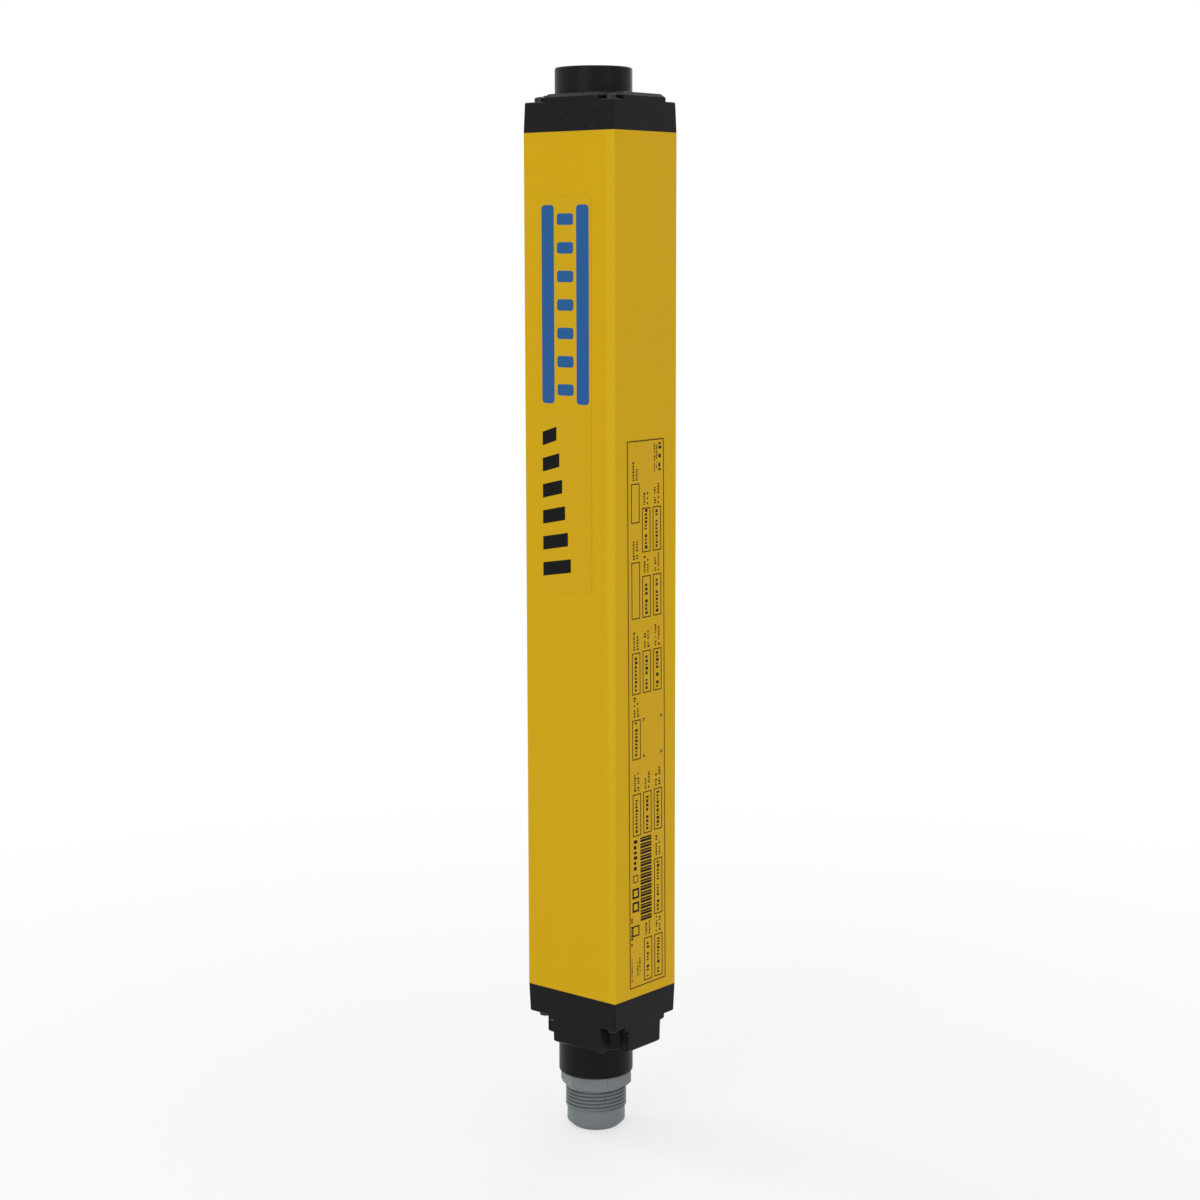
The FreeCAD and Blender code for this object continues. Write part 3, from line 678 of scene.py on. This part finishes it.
class Stand(Enum):
    """The face that a print lies on: the directions of its width, its height and its outside."""

    SIDE = ((0.0, 1.0, 0.0), (0.0, 0.0, 1.0), (1.0, 0.0, 0.0))
    BACK = ((-1.0, 0.0, 0.0), (0.0, 0.0, 1.0), (0.0, 1.0, 0.0))
    FRONT = ((1.0, 0.0, 0.0), (0.0, 0.0, 1.0), (0.0, -1.0, 0.0))


class PrintSheet:
    """Flat shapes in a face's own width and height, raised a hair above it."""

    rise: ClassVar[float] = 0.03
    root: ClassVar[float] = 0.02

    def __init__(self, stand: Stand, middle: Vector, turn: float = 0.0) -> None:
        """Start an empty sheet.

        Args:
            stand: The face that the sheet lies on.
            middle: The sheet's origin on that face, in metres.
            turn: Turn of the sheet about the face's outside, in degrees, anticlockwise.
        """
        across, up, self.outside = (np.array(axis) for axis in stand.value)
        angle = math.radians(turn)
        self.across = across * math.cos(angle) + up * math.sin(angle)
        self.up = up * math.cos(angle) - across * math.sin(angle)
        self.middle = np.array(middle)
        self.outlines: list[np.ndarray] = []

    def bar(self, left: float, low: float, right: float, high: float, lean: float = 0.0) -> None:
        """Add a straight bar.

        Args:
            left: Lower width coordinate in millimetres.
            low: Lower height coordinate.
            right: Upper width coordinate.
            high: Upper height coordinate.
            lean: How far the right end stands above the left end.
        """
        self.outlines.append(np.array([
            (left, low), (right, low + lean), (right, high + lean), (left, high)]))

    def rounded(self, left: float, low: float, right: float, high: float, radius: float) -> None:
        """Add a bar with round corners: quarter circles about four inset centres.

        Args:
            left: Lower width coordinate in millimetres.
            low: Lower height coordinate.
            right: Upper width coordinate.
            high: Upper height coordinate.
            radius: Corner radius.
        """
        angles = np.radians(np.linspace(0.0, 90.0, 7))
        arc = radius * np.stack([np.cos(angles), np.sin(angles)], axis=-1)
        flips = ((1, 1, right, high), (-1, 1, left, high), (-1, -1, left, low), (1, -1, right, low))
        corners = []
        for flip_x, flip_y, x, y in flips:
            ring = arc * (flip_x, flip_y) + (x - flip_x * radius, y - flip_y * radius)
            corners.append(ring if flip_x * flip_y > 0 else ring[::-1])
        self.outlines.append(np.concatenate(corners))

    def frame(self, left: float, low: float, right: float, high: float, line: float) -> None:
        """Add a hollow rectangle of four thin bars.

        Args:
            left: Outer left edge in millimetres.
            low: Outer lower edge.
            right: Outer right edge.
            high: Outer upper edge.
            line: Width of the line.
        """
        self.bar(left, low, left + line, high)
        self.bar(right - line, low, right, high)
        self.bar(left + line, low, right - line, low + line)
        self.bar(left + line, high - line, right - line, high)

    def build(self, name: str) -> bpy.types.Object:
        """Make one mesh of all shapes, each a closed slab from below the face to just above it.

        A point is the middle, plus width and height along the face, plus the slab's level
        along the outside.

        Args:
            name: The piece's name.

        Returns:
            The piece.
        """
        points, faces, start = [], [], 0
        for outline in self.outlines:
            flat = self.middle + MM * (outline[:, :1] * self.across + outline[:, 1:] * self.up)
            for level in (-self.root, self.rise):
                points.append(flat + MM * level * self.outside)
            count = len(outline)
            ring = np.arange(count)
            after = (ring + 1) % count
            faces.append((start + ring[::-1]).tolist())
            faces.append((start + count + ring).tolist())
            sides = np.stack([ring, after, after + count, ring + count], axis=-1) + start
            faces.extend(sides.tolist())
            start += 2 * count
        return make_piece(name, np.concatenate(points), faces, 30.0)


# ---- Sub-assemblies ----
@dataclass
class Housing:
    """Painted extrusion with its front window and the window's seals."""

    palette: Palette

    def build(self) -> None:
        """Dress the profile and everything glued into it."""
        self.palette.dress(PAINT, "housing_profile")
        self.palette.dress(WINDOW, "front_screen")
        self.palette.dress(RUBBER, "screen_seal_left", "screen_seal_right")


@dataclass
class EndCaps:
    """Two moulded caps with their gaskets and screws."""

    palette: Palette

    def build(self) -> None:
        """Dress the caps and what seals and holds them."""
        self.palette.dress(MOULDING, "upper_end_cap", "lower_end_cap")
        self.palette.dress(RUBBER, "upper_cap_gasket", "lower_cap_gasket")
        self.palette.dress(SCREW, "upper_cap_screws", "lower_cap_screws")


@dataclass
class DevicePlug:
    """Device plug whose shell carries a fine outside thread."""

    palette: Palette
    steps: int = 360
    stem_radius: float = 11.0
    socket_radius: float = 9.2
    across_flats: float = 27.0
    collar_radius: float = 15.2
    collar_height: float = 5.9
    collar_chamfer: float = 0.7
    thread_radius: float = 13.0
    thread_length: float = 9.3
    thread_pitch: float = 1.6
    thread_start: float = 220.0
    thread_depth: float = 1.35
    thread_fade: float = 0.5
    crest: float = 0.2
    flank: float = 0.65
    seam_turns: tuple[float, ...] = (60.0, 240.0)
    seam_width: float = 0.35
    seam_depth: float = 0.4
    rows_per_pitch: int = 14
    nose_radius: float = 12.4
    nose_tip_radius: float = 9.8
    nose_tip_height: float = 2.4
    edge: float = 0.15

    def hexagon(self, angle: np.ndarray) -> np.ndarray:
        """Return the hexagon's radius at each angle: the flat's distance over the cosine of
        the angle from that flat's middle."""
        from_flat = np.mod(angle, math.radians(60.0)) - math.radians(30.0)
        return self.across_flats / 2.0 / np.cos(from_flat)

    def groove(self, angle: np.ndarray, height: np.ndarray, low: float, high: float) -> np.ndarray:
        """Return how deep the thread cuts at each point.

        The turn's phase is height above the thread's lower end over pitch, less the angle from
        the thread's start over a full turn.  A smooth step on the distance from the crest gives
        rounded roots, and the depth fades out at both ends.

        Args:
            angle: Angle about the axis in radians.
            height: Height in millimetres.
            low: The thread's lower end.
            high: The thread's upper end.

        Returns:
            The depth in millimetres.
        """
        from_start = (angle - math.radians(self.thread_start)) / (2.0 * math.pi)
        phase = np.mod((height - low) / self.thread_pitch - from_start, 1.0)
        share = np.clip((1.0 - np.abs(2.0 * phase - 1.0) - self.crest) / self.flank, 0.0, 1.0)
        ends = np.clip(np.minimum(height - low, high - height) / self.thread_fade, 0.0, 1.0)
        return self.thread_depth * share * share * (3.0 - 2.0 * share) * ends

    def seam(self, angle: np.ndarray) -> np.ndarray:
        """Return the mould's parting line as a shallow dip.

        The dip falls off as a bell curve of the distance round the collar from each seam.

        Args:
            angle: Angle about the axis in radians.

        Returns:
            The depth in millimetres.
        """
        depth = np.zeros_like(angle)
        for turn in self.seam_turns:
            away = self.collar_radius * (angle - math.radians(turn))
            depth = depth + self.seam_depth * np.exp(-((away / self.seam_width) ** 2))
        return depth

    def shell(self) -> bpy.types.Object:
        """Make the plug's shell: an outline of radius over height, carried round the axis.

        The collar's rows are limited to the hexagon, the thread's rows are cut by the groove,
        and both carry the seam; the outline runs down the outside, over the nose and back up
        the bore.

        Returns:
            The shell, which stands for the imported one.
        """
        low, high = (corner.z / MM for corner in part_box("connector_shell"))
        axis = sum(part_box("connector_shell"), Vector()) / 2.0
        collar_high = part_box("lower_end_cap")[0].z / MM
        collar_low = collar_high - self.collar_height
        thread_low = collar_low - self.thread_length
        rows = int(self.rows_per_pitch * self.thread_length / self.thread_pitch)
        soft, chamfer = self.edge, self.collar_chamfer
        stem = [(self.stem_radius, high), (self.stem_radius, collar_high)]
        collar = [
            (self.collar_radius - soft, collar_high), (self.collar_radius, collar_high - soft),
            (self.collar_radius, collar_low + chamfer), (self.collar_radius - chamfer, collar_low)]
        thread = [
            (self.thread_radius, height) for height in np.linspace(collar_low, thread_low, rows)]
        nose = [
            (self.nose_radius, thread_low), (self.nose_radius, low + self.nose_tip_height + soft),
            (self.nose_radius - soft, low + self.nose_tip_height - soft),
            (self.nose_tip_radius + soft, low + soft), (self.nose_tip_radius - soft, low),
            (self.socket_radius + soft, low), (self.socket_radius, low + soft),
            (self.socket_radius, high)]
        outline = np.array(stem + collar + thread + nose)
        angle = np.linspace(0.0, 2.0 * math.pi, self.steps, endpoint=False)
        radius = np.repeat(outline[:, :1], self.steps, axis=1)
        height = np.repeat(outline[:, 1:], self.steps, axis=1)
        turns = np.broadcast_to(angle, radius.shape)
        first, last = len(stem), len(stem) + len(collar)
        radius[first:last] = np.minimum(radius[first:last], self.hexagon(turns[first:last]))
        cut = slice(last, last + len(thread))
        radius[cut] -= self.groove(turns[cut], height[cut], thread_low, collar_low)
        radius[first:cut.stop] -= self.seam(turns[first:cut.stop])
        points = np.stack([
            axis.x + MM * radius * np.cos(turns), axis.y + MM * radius * np.sin(turns),
            MM * height], axis=-1).reshape(-1, 3)
        return make_piece("threaded_plug_shell", points, grid_faces(len(outline), self.steps)[:, ::-1], 28.0)

    def build(self) -> None:
        """Make the threaded shell and dress the plug's other pieces."""
        shell = self.shell()
        shell.data.materials.append(self.palette.material(PLUG))
        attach(shell, "root")
        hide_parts("connector_shell")
        self.palette.dress(INSULATOR, "connector_insert")
        self.palette.dress(BRASS, "connector_pins", "earth_contact")
        self.palette.dress(RUBBER, "connector_o_ring")
        self.palette.dress(PLUG, "connector_locknut")
        self.palette.dress(JACKET, "connector_wires")


@dataclass
class OpticsStack:
    """Beam modules behind the window, with their lenses, diodes and flat cable."""

    palette: Palette
    modules: int = 3

    def build(self) -> None:
        """Dress each module and the cable that links them."""
        for number in range(1, self.modules + 1):
            self.palette.dress(CARRIER, f"optics_module_{number}")
            self.palette.dress(LENS, f"lens_strip_{number}")
            self.palette.dress(BOARD, f"diode_board_{number}")
            self.palette.dress(DIODE, f"beam_diodes_{number}")
        self.palette.dress(CHIP, "link_sockets")
        self.palette.dress(RIBBON, "ribbon_cable")
        self.palette.dress(FOAM, "spacer_pad")


@dataclass
class Electronics:
    """Logic board with its parts, and the status display behind the window."""

    palette: Palette
    stroke: float = 1.1
    digit_width: float = 6.0
    digit_height: float = 10.4
    stroke_gap: float = 0.25

    def segments(self) -> bpy.types.Object:
        """Make the digit's seven unlit segments as flat bars on the display's face.

        Returns:
            The piece.
        """
        low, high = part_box("segment_display")
        face = PrintSheet(Stand.FRONT, Vector(((low.x + high.x) / 2.0, low.y, (low.z + high.z) / 2.0)))
        half_w, half_h = self.digit_width / 2.0, self.digit_height / 2.0
        line, gap = self.stroke, self.stroke_gap
        for level in (-half_h, -line / 2.0, half_h - line):
            face.bar(-half_w + line + gap, level, half_w - line - gap, level + line)
        for left in (-half_w, half_w - line):
            face.bar(left, gap, left + line, half_h - gap)
            face.bar(left, -half_h + gap, left + line, -gap)
        return face.build("digit_segments")

    def build(self) -> None:
        """Dress the boards and their parts."""
        self.palette.dress(BOARD, "logic_board", "display_board")
        self.palette.dress(CHIP, "processor_chips", "power_choke", "wire_socket", "board_header")
        self.palette.dress(CAN, "capacitors")
        self.palette.dress(CARRIER, "display_carrier")
        self.palette.dress(DIGIT, "segment_display")
        self.palette.dress(LIGHT, "status_lights")
        digit = self.segments()
        digit.data.materials.append(self.palette.material(LIGHT))
        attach(digit, "root")


@dataclass
class SideFilm:
    """Clear film on the side with a plain beam pictogram and a graduated scale."""

    palette: Palette
    margin: float = 1.1
    picture_low: float = 77.4
    picture_height: float = 80.0
    post_width: float = 6.6
    post_corner: float = 1.6
    beam_count: int = 7
    beam_height: float = 4.6
    beam_corner: float = 1.2
    beam_gap: float = 1.6
    scale_low: float = 6.0
    scale_pitch: float = 10.8
    scale_steps: int = 6
    scale_height: float = 5.6
    scale_lean: float = 2.4
    scale_longest: float = 15.0
    scale_growth: float = 1.5

    def sheet(self) -> PrintSheet:
        """Return an empty sheet with its origin at the film's lower front corner, in by the margin.

        Returns:
            The sheet.
        """
        low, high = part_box("side_label")
        return PrintSheet(Stand.SIDE, Vector((high.x, low.y + self.margin * MM, low.z)))

    def picture(self) -> PrintSheet:
        """Draw two upright posts with level beams between them.

        Returns:
            The sheet with the pictogram on it.
        """
        low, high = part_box("side_label")
        width = (high.y - low.y) / MM - 2.0 * self.margin
        sheet = self.sheet()
        base, top = self.picture_low, self.picture_low + self.picture_height
        sheet.rounded(0.0, base, self.post_width, top, self.post_corner)
        sheet.rounded(width - self.post_width, base, width, top, self.post_corner)
        pitch = self.picture_height / self.beam_count
        left, right = self.post_width + self.beam_gap, width - self.post_width - self.beam_gap
        for step in range(self.beam_count):
            middle = base + pitch * (step + 0.5)
            low_edge, high_edge = middle - self.beam_height / 2.0, middle + self.beam_height / 2.0
            sheet.rounded(left, low_edge, right, high_edge, self.beam_corner)
        return sheet

    def scale(self) -> PrintSheet:
        """Draw slanted bars that grow by even steps.

        Returns:
            The sheet with the scale on it.
        """
        sheet = self.sheet()
        for step in range(self.scale_steps):
            level = self.scale_low + self.scale_pitch * step
            length = self.scale_longest - self.scale_growth * step
            sheet.bar(0.0, level, length, level + self.scale_height, self.scale_lean)
        return sheet

    def build(self) -> None:
        """Dress the film and lay both prints on it."""
        self.palette.dress(FILM, "side_label")
        for name, sheet, finish in (
                ("beam_pictogram", self.picture(), MARK_BLUE), ("graduated_scale", self.scale(), MARK_BLACK)):
            piece = sheet.build(name)
            piece.data.materials.append(self.palette.material(finish))
            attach(piece, "root")


@dataclass
class TypePlate:
    """Tall plate on the back: ruled fields with unreadable strokes in place of words."""

    palette: Palette
    width: float = 23.8
    height: float = 229.2
    tilt: float = 0.45
    border: float = 0.42
    rule: float = 0.42
    column_width: float = 5.4
    column_pitch: float = 6.95
    column_first: float = 4.45
    tick: float = 1.4
    square_shift: float = 1.0
    entry_height: float = 1.7
    entry_from: float = 1.4
    entry_to: float = 1.8
    caption_height: float = 1.2
    caption_spread: float = 1.1
    caption_gap: float = 1.2
    caption_reach: tuple[float, float] = (6.0, 9.5)
    stroke_lengths: tuple[float, float] = (0.35, 0.8)
    stroke_gap: float = 0.35
    ragged: float = 0.4
    word_gap: float = 0.8
    word_chance: float = 0.18
    ladder_pitch: float = 1.3
    ladder_bars: tuple[float, float] = (1.05, 0.75)
    seed: int = 7

    # column and lower and upper end of each field, in millimetres above the plate's lower edge
    fields: ClassVar[tuple[tuple[int, float, float], ...]] = (
        (0, 183.1, 201.4), (1, 183.1, 201.4), (2, 195.5, 211.7), (0, 156.1, 173.5), (1, 156.0, 173.4),
        (2, 156.0, 179.5), (0, 124.6, 142.3), (1, 124.6, 142.3), (2, 124.6, 142.0), (2, 97.3, 114.0),
        (0, 65.3, 83.0), (1, 65.1, 82.9), (2, 64.9, 82.8), (0, 28.9, 53.0), (0, 1.8, 20.2),
        (1, 1.7, 20.2))
    blank_square: ClassVar[tuple[float, float]] = (97.8, 114.1)
    bar_field: ClassVar[tuple[float, float, float, float]] = (-4.6, 28.0, 2.7, 65.4)
    # fields that stay bare inside
    bare: ClassVar[frozenset[tuple[int, float]]] = frozenset({(2, 195.5), (2, 156.0)})
    # place across the plate, lower and upper end and stroke size of each loose row
    notes: ClassVar[tuple[tuple[float, float, float, float], ...]] = (
        (-10.3, 3.0, 13.0, 0.9), (-10.2, 18.5, 30.5, 1.3), (-6.6, 5.0, 11.5, 1.0), (-5.2, 5.0, 13.0, 1.0),
        (-7.6, 50.5, 62.5, 2.6), (9.3, 216.0, 227.5, 1.9), (7.1, 217.0, 226.5, 0.9), (5.8, 215.5, 227.0, 0.9))
    # lower end, size and line of each plain square beside the ladder
    squares: ClassVar[tuple[tuple[float, float, float], ...]] = (
        (22.2, 4.6, 0.6), (32.6, 4.4, 0.9), (38.4, 4.4, 0.9), (45.2, 3.2, 0.4))

    def sheet(self) -> PrintSheet:
        """Return an empty sheet with its origin in the middle of the plate's lower edge.

        Returns:
            The sheet, turned as the plate is.
        """
        low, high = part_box("rating_label")
        middle = (low + high) / 2.0
        turn = math.radians(self.tilt)
        half = self.height / 2.0 * MM
        foot = Vector((middle.x - half * math.sin(turn), high.y, middle.z - half * math.cos(turn)))
        return PrintSheet(Stand.BACK, foot, self.tilt)

    def column(self, index: int) -> tuple[float, float]:
        """Return a column's left and right edges."""
        right = self.column_first + self.column_width - self.column_pitch * index
        return right - self.column_width, right

    def lines(self) -> PrintSheet:
        """Rule the border, the fields, the plain squares and the blank square's corner marks.

        Returns:
            The sheet with the rules on it.
        """
        sheet = self.sheet()
        half = self.width / 2.0
        sheet.frame(-half + 0.1, 0.1, half - 0.1, self.height - 0.1, self.border)
        for index, low, high in self.fields:
            left, right = self.column(index)
            sheet.frame(left, low, right, high, self.rule)
        middle = sum(self.column(2)) / 2.0 - self.square_shift
        for low, size, line in self.squares:
            sheet.frame(middle - size / 2.0, low, middle + size / 2.0, low + size, line)
        left, right = self.column(1)[0], self.column(0)[1]
        for across, inward in ((left, 1.0), (right, -1.0)):
            for up, upward in ((self.blank_square[0], 1.0), (self.blank_square[1], -1.0)):
                ends = sorted((across, across + inward * self.tick))
                sides = sorted((up, up + upward * self.tick))
                edge_a = sorted((up, up + upward * self.rule))
                edge_b = sorted((across, across + inward * self.rule))
                sheet.bar(ends[0], edge_a[0], ends[1], edge_a[1])
                sheet.bar(edge_b[0], sides[0], edge_b[1], sides[1])
        return sheet

    def strokes(self) -> PrintSheet:
        """Set short strokes in and above the fields, as type too small to read.

        Returns:
            The sheet with the strokes on it.
        """
        sheet = self.sheet()
        chance = np.random.default_rng(self.seed)
        for index, low, high in self.fields:
            left, right = self.column(index)
            middle = (left + right) / 2.0
            if (index, low) not in self.bare:
                start, end = low + self.entry_from, high - self.entry_to
                self.line_of_strokes(sheet, chance, middle, start, end, self.entry_height)
            for across in (middle - self.caption_spread, middle + self.caption_spread):
                start, end = high + self.caption_gap, high + chance.uniform(*self.caption_reach)
                self.line_of_strokes(sheet, chance, across, start, end, self.caption_height)
        for across, low, high, tall in self.notes:
            self.line_of_strokes(sheet, chance, across, low, high, tall)
        return sheet

    def line_of_strokes(
            self, sheet: PrintSheet, chance: np.random.Generator, across: float, low: float,
            high: float, tall: float) -> None:
        """Add one row of strokes that runs up the plate.

        Args:
            sheet: The sheet to draw on.
            chance: Source of stroke lengths.
            across: The row's middle in the plate's width.
            low: The row's lower end.
            high: The row's upper end.
            tall: Stroke size across the row.
        """
        level = low
        while level < high:
            length = chance.uniform(*self.stroke_lengths) * tall
            right = across - tall * chance.uniform(0.0, self.ragged) + tall / 2.0
            sheet.bar(across - tall / 2.0, level, right, level + length)
            space = self.word_gap * tall if chance.random() < self.word_chance else 0.0
            level += length + self.stroke_gap * tall + space

    def bars(self) -> PrintSheet:
        """Draw an even ladder of bars that carries no code.

        Returns:
            The sheet with the ladder on it.
        """
        sheet = self.sheet()
        left, low, right, high = self.bar_field
        for step in range(int((high - low) / self.ladder_pitch)):
            level = low + self.ladder_pitch * step
            sheet.bar(left, level, right, level + self.ladder_bars[step % 2])
        return sheet

    def build(self) -> None:
        """Dress the plate and lay its prints on it."""
        self.palette.dress(PLATE, "rating_label")
        for name, sheet in (
                ("plate_rules", self.lines()), ("plate_strokes", self.strokes()),
                ("plate_ladder", self.bars())):
            piece = sheet.build(name)
            piece.data.materials.append(self.palette.material(INK))
            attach(piece, "root")


# ---- Studio ----
@dataclass
class Camera:
    """Long-lens camera that looks slightly down on the side and back of the bar.

    Its place is given from the middle of the housing's lower end, in millimetres.
    """

    place: Triple = (758.811, 639.155, 308.988)
    azimuth: float = 130.134
    pitch: float = 8.246
    roll: float = -0.125
    focal_length: float = 72.05
    sensor: float = 36.0
    clip: tuple[float, float] = (0.01, 50.0)

    def build(self) -> bpy.types.Object:
        """Make the camera: its back points along the azimuth, raised by the pitch, then rolled.

        Returns:
            The camera, set as the scene's own.
        """
        low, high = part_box("housing_profile")
        foot = Vector(((low.x + high.x) / 2.0, (low.y + high.y) / 2.0, low.z))
        turn, tip, tilt = (math.radians(a) for a in (self.azimuth, self.pitch, self.roll))
        level = Vector((math.sin(turn), -math.cos(turn), 0.0))
        right = Vector((math.cos(turn), math.sin(turn), 0.0))
        back = level * math.cos(tip) + Vector((0.0, 0.0, math.sin(tip)))
        up = back.cross(right)
        across = right * math.cos(tilt) + up * math.sin(tilt)
        upright = up * math.cos(tilt) - right * math.sin(tilt)
        data = bpy.data.cameras.new("camera")
        data.sensor_width = self.sensor
        data.lens = self.focal_length
        data.clip_start, data.clip_end = self.clip
        camera = bpy.data.objects.new("camera", data)
        rotation = Matrix((across, upright, back)).transposed().to_4x4()
        camera.matrix_world = Matrix.Translation(foot + Vector(self.place) * MM) @ rotation
        bpy.context.scene.collection.objects.link(camera)
        bpy.context.scene.camera = camera
        return camera


@dataclass
class SoftBox:
    """Large area lamp."""

    name: str
    place: Triple
    size: float
    power: float

    def build(self, target: Vector) -> bpy.types.Object:
        """Hang the lamp and aim it.

        Args:
            target: The point that it faces.

        Returns:
            The lamp.
        """
        data = bpy.data.lights.new(self.name, "AREA")
        data.shape, data.size, data.energy = "DISK", self.size, self.power
        lamp = bpy.data.objects.new(self.name, data)
        lamp.location = Vector(self.place)
        lamp.rotation_mode = "QUATERNION"
        lamp.rotation_quaternion = (target - lamp.location).to_track_quat("-Z", "Y")
        bpy.context.scene.collection.objects.link(lamp)
        return lamp


@dataclass
class Studio:
    """Pale floor, white surroundings and soft lamps."""

    ambient: float = 0.74
    floor_size: float = 8.0
    floor_glow: float = 0.6
    floor_tone: float = 0.9
    floor_spread: float = 0.01
    floor_grain: float = 2.0
    glow_start: float = 0.1
    glow_end: float = 0.7

    def world(self) -> None:
        """Make even surroundings that the camera and reflections see as white."""
        world = bpy.data.worlds.new("surroundings")
        world.use_nodes = True
        wiring = Wiring(world.node_tree)
        strength = wiring.node(
            "MapRange", {"Value": wiring.seen_rays(), "To Min": self.ambient, "To Max": 1.0})
        shade = wiring.node("Background", {"Color": WHITE, "Strength": strength.outputs["Result"]})
        wiring.node("OutputWorld", {"Surface": shade.outputs[0]})
        bpy.context.scene.world = world

    def floor_material(self) -> bpy.types.Material:
        """Make the floor's matt white, which passes into the white surroundings away from the bar.

        Returns:
            The material.
        """
        sheet = NodeSheet("floor_white")
        dark, pale = self.floor_tone - self.floor_spread, self.floor_tone + self.floor_spread
        tone = sheet.blend(sheet.noise(self.floor_grain, 3.0), (dark,) * 3, (pale,) * 3)
        matt = sheet.node("BsdfPrincipled", {"Base Color": tone, "Roughness": 0.8, "Specular IOR Level": 0.1})
        glow = sheet.node("Emission", {"Color": WHITE, "Strength": 1.0})
        away = sheet.node("VectorMath", {0: sheet.place}, operation="LENGTH").outputs["Value"]
        fade = sheet.span(away, self.glow_start, self.glow_end, self.floor_glow, 1.0)
        share = sheet.maths("MULTIPLY", sheet.seen_rays(), fade)
        mixed = sheet.node("MixShader", {0: share, 1: matt.outputs[0], 2: glow.outputs[0]})
        sheet.close(mixed.outputs[0])
        return sheet.material

    def floor(self, level: float) -> bpy.types.Object:
        """Lay the floor.

        Args:
            level: Its height in metres.

        Returns:
            The floor, marked as stage.
        """
        half = self.floor_size / 2.0
        points = np.array([
            (-half, -half, level), (half, -half, level), (half, half, level), (-half, half, level)])
        floor = make_piece("floor", points, [(0, 1, 2, 3)], 30.0)
        floor.data.materials.append(self.floor_material())
        floor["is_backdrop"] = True
        return floor

    def build(self, low: Vector, high: Vector) -> None:
        """Set the surroundings, the floor and the lamps.

        Args:
            low: The object's lowest corner.
            high: The object's highest corner.
        """
        self.world()
        self.floor(low.z)
        middle = (low + high) / 2.0
        for box in (
                SoftBox("key_lamp", (1.25, 0.25, 0.6), 0.7, 2.9),
                SoftBox("fill_lamp", (0.3, 1.7, 0.15), 1.0, 3.2),
                SoftBox("top_lamp", (0.25, -1.15, 1.6), 0.5, 4.0),
                SoftBox("back_lamp", (-1.5, -0.6, 0.9), 1.0, 4.0)):
            box.build(middle)


def main() -> None:
    """Build every sub-assembly in order, then the camera and the studio, and log the housing's box."""
    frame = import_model()
    bpy.context.view_layer.update()
    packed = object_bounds()
    palette = Palette(frame["nodes"])
    low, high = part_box("housing_profile")
    LOG.info("housing from %s to %s", tuple(low), tuple(high))
    for assembly in (
            Housing(palette), EndCaps(palette), DevicePlug(palette), OpticsStack(palette),
            Electronics(palette), SideFilm(palette), TypePlate(palette)):
        assembly.build()
        LOG.info("built %s", type(assembly).__name__)
    Camera().build()
    Studio().build(*packed)
    scene = bpy.context.scene
    scene.view_settings.view_transform = "Standard"
    bpy.context.view_layer.update()


if __name__ == "__main__":
    logging.basicConfig(level=logging.INFO, format="%(name)s: %(message)s")
    main()
